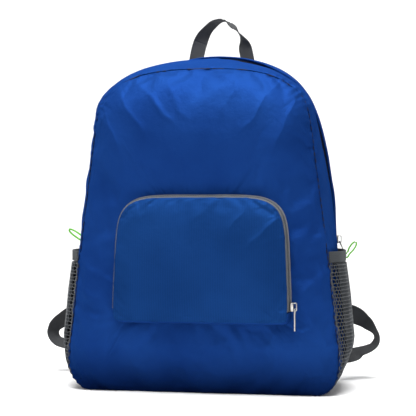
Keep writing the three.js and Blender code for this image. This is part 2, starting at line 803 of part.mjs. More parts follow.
// Where the side seam of the back panel is, over the width of the strap webbing.
function seamSeat(side, y, z) {
  const spots = [-0.5, 0, 0.5].map((share) => {
    const start = point(side * 3 * backHalfWidth, y, z + share * strapWebWidth);
    return Math.abs(start.x) - distanceTo(backPanel, start, point(-side, 0, 0));
  });
  return Math.max(...spots) + seamGap;
}

// Strap webbing: from a slot of the adjuster it loops out past the side of the bag, and ends sewn into
// the side seam near the base.
function strapWebbing(side) {
  const reach = side < 0 ? leftLoopReach : rightLoopReach;
  const seat = adjusterFrameMatrix(side);
  const inner = -adjusterBar / 2 - 1.5;
  const inSlot = (up, through) => point(0, up, through).applyMatrix4(seat);
  const behind = adjusterThickness / 2 + seamGap + webThickness / 2;
  const start = inSlot(inner, 0);
  const back = bodyDepth / 2 + backBulge;
  const endY = bodyDepth / 2 - webEndSetback;
  const seamX = seamSeat(side, endY, webEndHeight);
  const loop = webRows.map((row) =>
    point(
      side * THREE.MathUtils.lerp(Math.abs(start.x), reach, row.across),
      back + webStandOff * row.behind,
      THREE.MathUtils.lerp(webEndHeight, start.z, row.up),
    ),
  );
  return new THREE.CatmullRomCurve3([
    start,
    inSlot(inner - 0.9, behind - 1.4),
    inSlot(inner - 4.6, behind + 1.4),
    inSlot(inner - 12, behind + 1.8),
    ...loop,
    point(side * (seamX + strapWebWidth / 2), endY + webThickness, webEndHeight),
    point(side * seamX, endY, webEndHeight),
  ]);
}

const webTwist = (side) => (share) => side * readTable(webTwistRows, "along", "turn", share);

// A zip slider with its bridge. Its own axes are out from the zip, across it, and along it.
const outAcrossAlong = new THREE.Matrix4().makeBasis(point(0, 1, 0), point(0, 0, 1), point(1, 0, 0));
const sideways = new THREE.Matrix4().makeBasis(point(1, 0, 0), point(0, 0, 1), point(0, -1, 0));

function sliderBody() {
  const w = sliderWidth / 2;
  const h = sliderLength / 2;
  const shield = [
    [-w * 0.55, -h],
    [w * 0.55, -h],
    [w, 0],
    [w, h * 0.8],
    [w * 0.6, h],
    [-w * 0.6, h],
    [-w, h * 0.8],
    [-w, 0],
  ].map(([x, y]) => new THREE.Vector2(x, y));
  const base = plate(shield, [], sliderThickness).applyMatrix4(outAcrossAlong);
  base.translate(sliderThickness / 2, 0, 0);
  const legs = 4;
  const crown = sliderThickness + bridgeClear + bridgeWall;
  const arch = [
    [sliderThickness - 0.5, -legs - bridgeWall],
    [crown - 1, -legs - bridgeWall],
    [crown, -legs - bridgeWall + 1],
    [crown, legs + bridgeWall - 1],
    [crown - 1, legs + bridgeWall],
    [sliderThickness - 0.5, legs + bridgeWall],
    [sliderThickness - 0.5, legs],
    [crown - bridgeWall, legs],
    [crown - bridgeWall, -legs],
    [sliderThickness - 0.5, -legs],
  ].map(([x, y]) => new THREE.Vector2(x, y));
  const bridge = plate(arch, [], bridgeWidth).applyMatrix4(sideways);
  return geometryOf(solidOf(base).add(solidOf(bridge)));
}

// The pivot of a pull in its slider: its crossbar hangs in the foot of the bridge.
const pullPivot = point(sliderThickness + bridgeClear / 2, 0, -4 + pullCrossBar / 2 + seamGap);

// A flat pull that hangs from its crossbar at the origin, with an eye round the bridge.
function pullTab(length, ribbonSlot) {
  const w = pullWidth / 2;
  const top = pullCrossBar / 2;
  const eyeEnd = -top - pullEyeLength;
  const outline = [
    [-w, top],
    [-w, eyeEnd],
    [-w * 0.72, eyeEnd - 3],
    [ribbonSlot ? -w : -w * 0.62, eyeEnd - 7],
    [ribbonSlot ? -w : -w * 0.74, -length + 2],
    [-w * 0.45, -length],
    [w * 0.45, -length],
    [ribbonSlot ? w : w * 0.74, -length + 2],
    [ribbonSlot ? w : w * 0.62, eyeEnd - 7],
    [w * 0.72, eyeEnd - 3],
    [w, eyeEnd],
    [w, top],
  ].map(([x, y]) => new THREE.Vector2(x, y));
  const holes = [rectangle(-pullEyeWidth / 2, eyeEnd + 0.6, pullEyeWidth / 2, -top)];
  if (ribbonSlot) {
    const half = loopRibbonWidth / 2 + 0.5;
    holes.push(rectangle(-half, -length + 1.6, half, -length + 4.2));
  }
  return plate(outline, holes, pullThickness).applyMatrix4(outAcrossAlong);
}

// A ribbon loop through the slot of a main pull. The spots hold out and along, from the pull's pivot.
function pullLoop({ lean, ribbon, rise }) {
  const slot = -mainPullLength + 2.9;
  const turn = radians(rise - lean);
  const strand = (reach, beside) => [
    2.4 + reach * Math.cos(turn) - beside * Math.sin(turn),
    slot - 2 + reach * Math.sin(turn) + beside * Math.cos(turn),
  ];
  const spots = [
    [0, slot],
    strand(3, 1.8),
    strand(ribbon * 0.45, 3.2),
    strand(ribbon * 0.82, 2.7),
    strand(ribbon, 0),
    strand(ribbon * 0.82, -2.7),
    strand(ribbon * 0.45, -3),
    strand(3, -1.8),
    [1.4, slot - 4.9],
    [0, slot - 4.9],
    [-1.9, slot - 3],
    [-1.7, slot - 0.6],
  ].map(([x, z]) => point(x, 0, z));
  const curve = new THREE.CatmullRomCurve3(spots, true, "catmullrom", 0.5);
  return strip(curve, 26, loopRibbonWidth, loopRibbonThickness, () => 90, true, backwards);
}

// The frame of a slider: out from the zip on one side of the bag, seated clear of what is under it.
function sliderFrame(side, y, z, surface) {
  const spread = [-1, 0, 1];
  const inwards = point(-side, 0, 0);
  const reach = 3 * frontHalfWidth;
  const clear = spread.flatMap((a) =>
    spread.map((b) => {
      const start = point(side * reach, y + (a * sliderWidth) / 2, z + (b * sliderLength) / 2);
      return reach - distanceTo(surface, start, inwards);
    }),
  );
  const seat = Math.max(...clear.filter(Number.isFinite)) + seamGap;
  const out = point(side, 0, 0);
  const across = point(0, side, 0);
  return new THREE.Matrix4().makeBasis(out, across, point(0, 0, 1)).setPosition(side * seat, y, z);
}

const rucksack = new THREE.Group();

function add(name, geometry, material, matrix = null) {
  const mesh = new THREE.Mesh(geometry, material);
  mesh.name = name;
  if (matrix) mesh.applyMatrix4(matrix);
  rucksack.add(mesh);
}

add("front_panel", frontPanel, blue);
add("gusset", gusset, blue);
add("main_zip", mainZip, navy);
add("back_panel", backPanel, blue);
add("pocket_face", pocketFace, blue);
add("pocket_zip", pocketZip, charcoal);
add("pocket_base", pocketBase, blue);
add("grab_handle", handle, charcoal);

const pocketSliderZ = pocketBaseHeight + pocketSliderHeight;
const pocketSliderY = (pocketFaceDepth(pocketSliderZ) + panelUnder(pocketZipEnd)) / 2;
const pocketSlider = sliderFrame(1, pocketSliderY, pocketSliderZ, pocketZip);
const pivotShift = new THREE.Matrix4().setPosition(pullPivot);
add("pocket_slider", sliderBody(), steel, pocketSlider);
add("pocket_pull", pullTab(pocketPullLength, false), steel, pocketSlider.clone().multiply(pivotShift));

for (const row of pullRows) {
  const { label, side } = row;
  add(`net_pocket_${label}`, sidePatch(side, netDepths, netHeights, netWall, inGap), charcoal);
  add(`pocket_band_${label}`, sidePatch(side, bandDepths, bandHeights, bandWall), charcoal);
  add(`shoulder_pad_${label}`, shoulderPad(side), blue);
  add(`adjuster_${label}`, adjusterFrame(), black, adjusterFrameMatrix(side));
  const webbing = strip(strapWebbing(side), 34, strapWebWidth, webThickness, webTwist(side));
  add(`strap_webbing_${label}`, webbing, charcoal);

  const sliderY = bodyDepth * ((zipFront + zipBack) / 2 - 0.5);
  const sliderZ = netTopHeight + bandHeight + mainSliderAboveBand + sliderLength / 2;
  const frame = sliderFrame(side, sliderY, sliderZ, mainZip);
  const lean = new THREE.Matrix4().makeRotationY(-radians(row.lean));
  const hung = frame.clone().multiply(pivotShift).multiply(lean);
  add(`main_slider_${label}`, sliderBody(), steel, frame);
  add(`main_pull_${label}`, pullTab(mainPullLength, true), steel, hung);
  add(`pull_loop_${label}`, pullLoop(row), green, hung);
}

export default rucksack;
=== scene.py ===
# %% [markdown]
# # A packable rucksack in thin blue nylon
#
# The bag stands filled, so its cloth is taut over the middle of each panel and gathers in small
# puckers where the panels are sewn together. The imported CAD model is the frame: each cloth panel
# starts as a copy of the outer side of its CAD wall, gets a finer mesh, and is then blown up a little
# as real cloth. Straps, zips, nets and stitches follow the same frame.

# %% Load the frame
import math

import bmesh
import bpy
from mathutils import Matrix, Vector, noise
from mathutils.bvhtree import BVHTree
from mathutils.kdtree import KDTree


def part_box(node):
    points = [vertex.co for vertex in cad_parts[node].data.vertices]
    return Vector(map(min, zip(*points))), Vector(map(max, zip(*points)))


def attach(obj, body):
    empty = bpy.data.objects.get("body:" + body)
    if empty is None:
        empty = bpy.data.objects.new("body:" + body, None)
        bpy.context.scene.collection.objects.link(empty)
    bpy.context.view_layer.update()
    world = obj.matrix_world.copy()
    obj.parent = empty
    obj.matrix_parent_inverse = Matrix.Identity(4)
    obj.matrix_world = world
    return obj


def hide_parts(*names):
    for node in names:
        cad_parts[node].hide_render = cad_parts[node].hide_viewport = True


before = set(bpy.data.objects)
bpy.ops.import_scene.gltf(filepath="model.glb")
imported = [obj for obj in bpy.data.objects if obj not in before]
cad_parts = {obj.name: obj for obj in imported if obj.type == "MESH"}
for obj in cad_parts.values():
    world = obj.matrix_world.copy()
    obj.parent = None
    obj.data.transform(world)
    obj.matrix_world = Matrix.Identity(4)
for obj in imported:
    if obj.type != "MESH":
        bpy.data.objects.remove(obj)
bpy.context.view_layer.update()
scene = bpy.context.scene
mm = 0.001

# %% [markdown]
# ## The camera
#
# The photograph is taken level with the middle of the bag, from about ten degrees round to the
# picture's right, and from far enough away that the back looks only a little smaller than the front. A
# long lens from that distance gives the same look. Placing the camera first means that every later
# render can be set against the photograph. Left and right mean the picture's sides all through.

# %% The camera
camera_azimuth = math.radians(10.4)
camera_distance = 1.6
camera_height = 0.236
aim_offset = -0.0054
picture_width = 0.557

camera_data = bpy.data.cameras.new("camera")
camera_data.sensor_width = 36
camera_data.lens = camera_data.sensor_width * camera_distance / picture_width
camera = bpy.data.objects.new("camera", camera_data)
scene.collection.objects.link(camera)
towards_camera = Vector((math.sin(camera_azimuth), -math.cos(camera_azimuth), 0))
aim = Vector((aim_offset, 0, camera_height))
camera.location = aim + towards_camera * camera_distance
camera.rotation_mode = "QUATERNION"
camera.rotation_quaternion = (-towards_camera).to_track_quat("-Z", "Y")
scene.camera = camera
print("the lens is", round(camera_data.lens, 1), "mm")

# %% [markdown]
# ## The studio
#
# The photograph has a plain white ground with light from above and in front. The floor here runs up
# into a backdrop in one curve, so no edge shows behind the bag. One wide soft light overhead gives the
# bright top, a weaker one in front opens the shadows, and the white world fills the rest. A fourth
# light shines on the backdrop alone, so that it comes out as white as the floor.


def deselect():
    if bpy.context.mode != "OBJECT":
        bpy.ops.object.mode_set(mode="OBJECT")
    bpy.ops.object.select_all(action="DESELECT")


def choose(piece):
    deselect()
    piece.select_set(True)
    bpy.context.view_layer.objects.active = piece


def apply_modifier(piece, kind, **settings):
    choose(piece)
    modifier = piece.modifiers.new(kind.lower(), kind)
    for name, value in settings.items():
        setattr(modifier, name, value)
    bpy.ops.object.modifier_apply(modifier=modifier.name)


def finish_piece(piece, body, material, *nodes):
    """Gives a piece its material, and says what it rides on and which CAD nodes it replaces."""
    piece.data.materials.clear()
    piece.data.materials.append(material)
    if nodes:
        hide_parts(*nodes)
    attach(piece, body)
    print(piece.name, len(piece.data.polygons), "faces")
    return piece


# %% The floor and backdrop
floor_width = 7.0
floor_depth = 5.0
backdrop_height = 3.0
backdrop_curve = 1.2
paper_white = (0.93, 0.93, 0.93, 1)

deselect()
bpy.ops.mesh.primitive_plane_add(size=1, location=(0, 0, 0))
floor = bpy.context.object
floor.name = "floor"
floor.scale = (floor_width, floor_depth, 1)
bpy.ops.object.transform_apply(scale=True)
bpy.ops.object.mode_set(mode="EDIT")
floor_mesh = bmesh.from_edit_mesh(floor.data)
for edge in floor_mesh.edges:
    edge.select_set(all(v.co.y > 0 for v in edge.verts))
bmesh.update_edit_mesh(floor.data)
bpy.ops.mesh.extrude_edges_move(TRANSFORM_OT_translate={"value": (0, 0, backdrop_height)})
bpy.ops.object.mode_set(mode="OBJECT")
apply_modifier(floor, "BEVEL", width=backdrop_curve, segments=16, limit_method="ANGLE")
bpy.ops.object.shade_smooth()

paper = bpy.data.materials.new("white_paper")
paper.use_nodes = True
paper_surface = paper.node_tree.nodes["Principled BSDF"]
paper_surface.inputs["Base Color"].default_value = paper_white
paper_surface.inputs["Roughness"].default_value = 0.9
floor.data.materials.append(paper)

# %% The lights
def soft_light(name, place, target, size, power):
    """A wide area light at a place, turned to a target, with its power in watts."""
    deselect()
    bpy.ops.object.light_add(type="AREA", location=place)
    light = bpy.context.object
    light.name = name
    light.data.shape = "RECTANGLE"
    light.data.size, light.data.size_y = size
    light.data.energy = power
    light.rotation_euler = (Vector(target) - Vector(place)).to_track_quat("-Z", "Y").to_euler()


light_aim = (0, 0, 0.24)
backdrop_aim = (0, 2.5, 0.6)
soft_light("overhead_light", (0.0, -0.5, 1.7), light_aim, size=(1.5, 1.0), power=66)
soft_light("front_light", (-1.1, -2.0, 1.0), light_aim, size=(2.2, 1.8), power=13)
soft_light("side_light", (2.0, -0.8, 0.8), light_aim, size=(0.8, 1.4), power=2)
soft_light("backdrop_light", (0, 0.9, 2.4), backdrop_aim, size=(3.0, 0.8), power=24)

world = bpy.data.worlds.new("white_room")
scene.world = world
world.use_nodes = True
world.node_tree.nodes["Background"].inputs["Color"].default_value = (1, 1, 1, 1)
world.node_tree.nodes["Background"].inputs["Strength"].default_value = 0.35
scene.view_settings.view_transform = "Standard"

# %% [markdown]
# ## Materials
#
# Every cloth here is woven or knitted, so each material is a weave: two sets of fine waves at right
# angles, which follow the cloth's own grain, drive a bump. Over that lie a slow change of colour and a
# fine crinkle, which is what light catches on real nylon. Coated nylon shines like satin, in its own
# colour, where it faces the eye, so it is made partly metallic there. Its lowest few centimetres are
# painted darker, as painted shade near the floor. Webbing, elastic and net are dull.

# %% A helper that wires shader nodes
class Shader:
    """A material whose nodes are added one by one."""

    def __init__(self, name):
        self.material = bpy.data.materials.new(name)
        self.material.use_nodes = True
        self.tree = self.material.node_tree
        self.surface = self.tree.nodes["Principled BSDF"]

    def add(self, kind, inputs=None, **settings):
        node = self.tree.nodes.new(kind)
        for name, value in settings.items():
            setattr(node, name, value)
        for name, value in (inputs or {}).items():
            self.feed(node.inputs[name], value)
        return node

    def feed(self, socket, value):
        if isinstance(value, bpy.types.NodeSocket):
            self.tree.links.new(value, socket)
        else:
            socket.default_value = value

    def set(self, name, value):
        self.feed(self.surface.inputs[name], value)

    def place(self, kind="Object"):
        return self.add("ShaderNodeTexCoord").outputs[kind]

    def noise(self, vector, scale, detail=3.0, roughness=0.5):
        inputs = {"Vector": vector, "Scale": scale, "Detail": detail, "Roughness": roughness}
        return self.add("ShaderNodeTexNoise", inputs).outputs["Fac"]

    def maths(self, operation, *values):
        node = self.add("ShaderNodeMath", operation=operation)
        for socket, value in zip(node.inputs, values):
            self.feed(socket, value)
        return node.outputs[0]

    def ramp(self, factor, low, high, start=0.0, end=1.0):
        node = self.add("ShaderNodeValToRGB", {"Fac": factor})
        for element, place, colour in zip(node.color_ramp.elements, (start, end), (low, high)):
            element.position = place
            element.color = (*colour, 1)
        return node.outputs["Color"]

    def waves(self, vector, pitch, direction):
        """Even ridges with the given spacing in metres, across one axis."""
        wave_scale = math.pi / (10 * pitch)
        inputs = {"Vector": vector, "Scale": wave_scale, "Distortion": 0.0}
        return self.add("ShaderNodeTexWave", inputs, bands_direction=direction).outputs["Fac"]

    def bump(self, height, distance, strength=1.0, under=None):
        inputs = {"Height": height, "Distance": distance, "Strength": strength}
        if under is not None:
            inputs["Normal"] = under
        return self.add("ShaderNodeBump", inputs).outputs["Normal"]


# %% Nylon, webbing, elastic and net
def woven(
    name, dark, light, pitch, roughness, gloss, sheen=0.0, crinkle=0.3, ribs=0.0, glint=(1, 1, 1), satin=0.0
):
    """Plain-woven cloth. The grain follows the piece's own UV map, which is laid out in metres."""
    shader = Shader(name)
    grain = shader.place("UV")
    body = shader.place("Object")
    across = shader.waves(grain, pitch, "X")
    along = shader.waves(grain, pitch, "Y")
    weave = shader.maths("MULTIPLY", across, along)
    drift = shader.noise(body, 9.0, 4.0, 0.6)
    mottled = shader.maths("ADD", shader.maths("MULTIPLY", weave, 0.18), drift)
    if ribs:
        rib = shader.waves(grain, ribs, "X")
        mottled = shader.maths("ADD", mottled, shader.maths("MULTIPLY", rib, 0.16))
    cloth_colour = shader.ramp(mottled, dark, light, 0.3, 0.9)
    if satin:
        # Painted shade: the nylon's colour darkens over its lowest few centimetres, as shade near the
        # floor.
        height = shader.add("ShaderNodeSeparateXYZ", {"Vector": body}).outputs["Z"]
        painted_floor_shade = shader.ramp(height, (0.3, 0.26, 0.3), (1.0, 1.0, 1.0), 4 * mm, 60 * mm)
        mix = shader.add("ShaderNodeVectorMath", {0: cloth_colour, 1: painted_floor_shade}, operation="MULTIPLY")
        cloth_colour = mix.outputs["Vector"]
        facing_away = shader.add("ShaderNodeLayerWeight", {"Blend": 0.7}).outputs["Facing"]
        towards = shader.maths("SUBTRACT", 1.0, facing_away)
        shader.set("Metallic", shader.maths("MULTIPLY", towards, satin))
    shader.set("Base Color", cloth_colour)
    shader.set("Roughness", shader.maths("MULTIPLY_ADD", drift, 0.12, roughness - 0.06))
    shader.set("Specular IOR Level", gloss)
    shader.set("Specular Tint", (*glint, 1))
    shader.set("Sheen Weight", sheen)
    shader.set("Sheen Roughness", 0.45)
    fine = shader.noise(body, 260.0, 3.0, 0.6)
    broad = shader.noise(body, 46.0, 4.0, 0.62)
    creased = shader.bump(broad, 1.6 * mm * crinkle, 0.8)
    creased = shader.bump(fine, 0.2 * mm * crinkle, 0.7, creased)
    shader.set("Normal", shader.bump(weave, 0.25 * pitch, 0.6, creased))
    return shader.material


blue_glint = (0.55, 0.8, 1.0)
nylon = woven(
    "nylon_cloth", (0.0037, 0.0212, 0.113), (0.0078, 0.04, 0.178),
    pitch=0.5 * mm, roughness=0.36, gloss=0.0, crinkle=1.0, glint=blue_glint, satin=0.42,
)
pocket_nylon = woven(
    "ribbed_nylon_cloth", (0.0033, 0.0205, 0.088), (0.0062, 0.0345, 0.139),
    pitch=0.5 * mm, roughness=0.44, gloss=0.0, crinkle=0.8, ribs=3 * mm, glint=blue_glint, satin=0.4,
)
webbing_cloth = woven(
    "webbing_cloth", (0.021, 0.022, 0.024), (0.068, 0.071, 0.076),
    pitch=1.1 * mm, roughness=0.75, gloss=0.15, sheen=0.03, crinkle=0.5,
)
elastic_cloth = woven(
    "elastic_cloth", (0.014, 0.016, 0.019), (0.045, 0.05, 0.056),
    pitch=0.9 * mm, roughness=0.8, gloss=0.15, sheen=0.05, crinkle=0.6, ribs=2.2 * mm,
)
net_cloth = woven(
    "net_cloth", (0.022, 0.026, 0.03), (0.06, 0.066, 0.075),
    pitch=0.6 * mm, roughness=0.7, gloss=0.3, sheen=0.2,
)
# Near-black net lining: partly the net's inner layer, partly painted shade seen through the holes.
lining_shade_cloth = woven(
    "net_lining_shade_cloth", (0.008, 0.009, 0.011), (0.02, 0.022, 0.025),
    pitch=0.6 * mm, roughness=0.8, gloss=0.1,
)
green_ribbon = woven(
    "ribbon_cloth", (0.07, 0.3, 0.012), (0.17, 0.56, 0.03),
    pitch=0.6 * mm, roughness=0.6, gloss=0.35, sheen=0.2,
)
navy_tape = woven(
    "navy_zip_tape", (0.001, 0.002, 0.008), (0.002, 0.004, 0.014),
    pitch=0.7 * mm, roughness=0.8, gloss=0.04,
)
grey_tape = woven(
    "grey_zip_tape", (0.04, 0.044, 0.05), (0.095, 0.1, 0.112),
    pitch=0.7 * mm, roughness=0.7, gloss=0.3, sheen=0.15,
)


# %% Thread, coil, plastic and plated metal
def moulded(name, dark, light, roughness, gloss, grain_size, grain_depth, metal=0.0):
    """A plain surface whose colour and roughness vary in soft patches under a fine grain."""
    shader = Shader(name)
    body = shader.place("Object")
    patches = shader.noise(body, 60.0, 3.0)
    grain = shader.noise(body, 1.0 / grain_size, 2.0)
    shader.set("Base Color", shader.ramp(patches, dark, light, 0.35, 0.7))
    shader.set("Roughness", shader.maths("MULTIPLY_ADD", patches, 0.14, roughness - 0.07))
    shader.set("Specular IOR Level", gloss)
    shader.set("Metallic", metal)
    shader.set("Normal", shader.bump(grain, grain_depth, 0.6))
    return shader.material


# Near-black navy thread. The same colour also paints the shade of the front seam's groove and of its open
# slits.
navy_thread_and_shade = moulded(
    "navy_thread_and_shade", (0.001, 0.003, 0.016), (0.002, 0.006, 0.03),
    roughness=0.7, gloss=0.2, grain_size=0.4 * mm, grain_depth=0.1 * mm,
)
charcoal_thread = moulded(
    "charcoal_thread", (0.009, 0.01, 0.012), (0.018, 0.02, 0.023),
    roughness=0.8, gloss=0.2, grain_size=0.4 * mm, grain_depth=0.1 * mm,
)
navy_coil = moulded(
    "navy_zip_coil", (0.001, 0.002, 0.007), (0.003, 0.005, 0.014),
    roughness=0.5, gloss=0.15, grain_size=0.6 * mm, grain_depth=0.05 * mm,
)
grey_coil = moulded(
    "grey_zip_coil", (0.03, 0.033, 0.038), (0.07, 0.075, 0.085),
    roughness=0.4, gloss=0.5, grain_size=0.6 * mm, grain_depth=0.05 * mm,
)
black_plastic = moulded(
    "moulded_plastic", (0.011, 0.012, 0.015), (0.02, 0.022, 0.026),
    roughness=0.5, gloss=0.4, grain_size=0.5 * mm, grain_depth=0.06 * mm,
)
nickel = moulded(
    "worn_nickel", (0.3, 0.29, 0.27), (0.46, 0.445, 0.42),
    roughness=0.34, gloss=0.5, grain_size=1.2 * mm, grain_depth=0.04 * mm, metal=1.0,
)
print("materials", sorted(m.name for m in bpy.data.materials))

# %% [markdown]
# ## From a CAD wall to a cloth panel
#
# A CAD wall is a closed shell of large triangles. Cloth needs one skin of small, even quads, so the
# outer side is kept, its triangles are joined in pairs, and Subdivision Surface rounds it off. The
# seams stay where the CAD puts them, because every neighbour uses the same edge.

# %% Keep the outer skin of a node
def outer_skin(name, node, keep, levels):
    """A copy of a node with only the faces for which keep(middle, normal) is true, made of small quads."""
    deselect()
    piece = bpy.data.objects.new(name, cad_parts[node].data.copy())
    scene.collection.objects.link(piece)
    mesh = bmesh.new()
    mesh.from_mesh(piece.data)
    bmesh.ops.remove_doubles(mesh, verts=mesh.verts, dist=0.02 * mm)
    mesh.normal_update()
    inner = [face for face in mesh.faces if not keep(face.calc_center_median(), face.normal)]
    bmesh.ops.delete(mesh, geom=inner, context="FACES")
    bmesh.ops.join_triangles(
        mesh, faces=mesh.faces, angle_face_threshold=math.pi, angle_shape_threshold=math.pi
    )
    mesh.to_mesh(piece.data)
    mesh.free()
    apply_modifier(piece, "SUBSURF", levels=levels, render_levels=levels)
    bpy.ops.object.shade_smooth()
    return piece


def lay_grain(piece):
    """Lays the weave on the piece: a UV map in metres, from the side that each face is nearest to."""
    choose(piece)
    bpy.ops.object.mode_set(mode="EDIT")
    bpy.ops.mesh.select_all(action="SELECT")
    bpy.ops.uv.cube_project(cube_size=1.0, correct_aspect=False, scale_to_bounds=False)
    bpy.ops.object.mode_set(mode="OBJECT")


def edge_points(piece):
    """The vertices along the open edges of a skin."""
    counts = {}
    for polygon in piece.data.polygons:
        for key in polygon.edge_keys:
            counts[key] = counts.get(key, 0) + 1
    return sorted({index for key, count in counts.items() if count == 1 for index in key})


# %% [markdown]
# ## Blowing up the cloth
#
# A filled bag pushes its cloth outwards while the seams hold it, and cloth that is a little too wide
# for its frame gathers at the seams. Blender's Cloth does both at once with a little pressure and a
# negative shrink. The seams are pinned, gravity is off because the filling carries the cloth, and no
# point may move further than a set distance, so the panel stays on its CAD wall.

# %% Cloth simulation with a cap on how far each point moves
cloth_frames = 26
cloth_stiffness = 9.0


def blow_up(piece, held, pressure, growth, cap):
    """Blows a skin outwards. The held vertices stay, and no other moves further than the cap."""
    rest = [v.co.copy() for v in piece.data.vertices]
    pins = piece.vertex_groups.new(name="pins")
    pins.add(list(held), 1.0, "REPLACE")
    choose(piece)
    modifier = piece.modifiers.new("cloth", "CLOTH")
    cloth = modifier.settings
    cloth.quality = 6
    cloth.mass = 0.12
    cloth.tension_stiffness = cloth_stiffness
    cloth.compression_stiffness = cloth_stiffness
    cloth.shear_stiffness = cloth_stiffness / 3
    cloth.bending_stiffness = 0.02
    cloth.air_damping = 3
    cloth.vertex_group_mass = "pins"
    cloth.use_pressure = True
    cloth.uniform_pressure_force = pressure
    cloth.shrink_min = -growth
    cloth.effector_weights.gravity = 0
    modifier.collision_settings.use_collision = False
    modifier.point_cache.frame_start = 1
    modifier.point_cache.frame_end = cloth_frames
    for step in range(1, cloth_frames + 1):
        scene.frame_set(step)
    bpy.ops.object.modifier_apply(modifier=modifier.name)
    scene.frame_set(1)
    piece.vertex_groups.clear()
    furthest = 0.0
    for vertex, start in zip(piece.data.vertices, rest):
        move = vertex.co - start
        furthest = max(furthest, move.length)
        if move.length > 1e-9:
            vertex.co = start + move.normalized() * cap * math.tanh(move.length / cap)
    print(piece.name, "moved at most", round(furthest / mm, 1), "mm before its cap")


# %% [markdown]
# ## Folds and seam puckers
#
# Simulation gives the soft shapes. The photograph also shows particular creases, so these are pressed
# in one by one: each is a ridge with a soft side and a sharper side, fading towards both ends. Along each
# seam the thread pulls the cloth into short ridges across the seam, a few millimetres apart and never
# quite even.

# %% Press folds and puckers into a skin
def push_out(piece, lift_at):
    """Moves each vertex along its normal by lift_at(place), in metres."""
    starts = [(v.co.copy(), v.normal.copy()) for v in piece.data.vertices]
    moved = [place + normal * lift_at(place) for place, normal in starts]
    piece.data.vertices.foreach_set("co", [value for place in moved for value in place])
    piece.data.update()


def press_folds(piece, folds):
    """Folds lie in the plane of the front, with their middle and size in millimetres."""

    def lift_at(place):
        lift = 0.0
        for fold in folds:
            turn = math.radians(fold["turn"])
            dx = place.x / mm - fold["x"]
            dz = place.z / mm - fold["z"]
            along = (dx * math.cos(turn) + dz * math.sin(turn)) / (fold["length"] / 2)
            if abs(along) > 1.6:
                continue
            wander = noise.noise(Vector((along * 1.3, fold["x"], fold["z"]))) * 0.8
            beside = (dz * math.cos(turn) - dx * math.sin(turn)) / fold["width"] + wander
            ridge = math.exp(-abs(beside) * (1.6 if beside > 0 else 0.9))
            lift += fold["rise"] * ridge * math.exp(-(along**4))
        return lift * mm

    push_out(piece, lift_at)


def pucker_edges(piece, edge, spacing, reach, depth, seed):
    """Short ridges that run in from a sewn edge, given as its vertices' places in order."""
    tree = KDTree(len(edge))
    lengths = [0.0]
    for index, spot in enumerate(edge):
        tree.insert(spot, index)
        lengths.append(lengths[-1] + (spot - edge[index - 1]).length if index else 0.0)
    tree.balance()

    def lift_at(place):
        _, index, away = tree.find(place)
        if away > 4 * reach:
            return 0.0
        s = lengths[index + 1] / spacing
        uneven = noise.noise(Vector((s * 0.31, seed, 0.0)))
        ridge = math.sin(2 * math.pi * (s + 0.9 * uneven))
        ridge += 0.6 * math.sin(2 * math.pi * (0.43 * s + uneven))
        strength = 0.65 + 0.9 * noise.noise(Vector((s * 0.12, seed, 5.0)))
        fade = math.exp(-away / reach) * min(1.0, 0.25 + away / (0.35 * reach))
        return depth * ridge * strength * fade

    push_out(piece, lift_at)


def crumple(piece, size, depth, seed):
    """A slow, creased unevenness over the whole skin, which leaves its edges where they are."""
    fixed = {tuple(piece.data.vertices[i].co) for i in edge_points(piece)}
    offset = Vector((seed * 7.1, seed * 3.3, seed * 5.7))

    def lift_at(place):
        if tuple(place) in fixed:
            return 0.0
        spot = place / size + offset
        folded = 1 - abs(noise.noise(spot)) * 2.2
        return depth * (0.55 * folded + 0.8 * noise.noise(spot * 0.45))

    push_out(piece, lift_at)


def sag_under_zip(piece):
    """The side wall sinks a little towards the zip from half its height up, most at the top right."""

    def lift_at(place):
        height = min(1.0, max(0.0, (place.z / mm - 190) / 110))
        depth = 3.0 + 16.0 * math.exp(-(((place.x / mm - 92) / 50) ** 2))
        before = min(1.0, max(0.0, (place.y / mm + 72) / 100))
        behind = min(1.0, max(0.0, (64 - place.y / mm) / 9))
        return -depth * height * before * before * (3 - 2 * before) * behind * mm

    push_out(piece, lift_at)


def keep_above_floor(piece):
    """The bag stands on the floor, so no cloth hangs below it."""
    for vertex in piece.data.vertices:
        vertex.co.z = max(vertex.co.z, 0.0)


def add_wall(piece, thickness=0.7 * mm):
    apply_modifier(piece, "SOLIDIFY", thickness=thickness, offset=-1.0)
    choose(piece)
    bpy.ops.object.shade_smooth()


def ring_in_order(points, middle):
    """Points of a seam that runs once round an upright axis along Y, in order of angle."""
    return sorted(points, key=lambda p: math.atan2(p.z - middle.z, p.x - middle.x))


# %% [markdown]
# ## The front panel
#
# The biggest panel is one piece of nylon, sewn all round. The front pocket is sewn on over its middle
# and holds it down there. The folds in the table were placed from the photograph: two long ones fan
# down from the top corners, and short ones come in from the side seams.

# %% The front panel
bag_middle = Vector((0, 0, 0.2))
seam_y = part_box("front_panel")[1].y

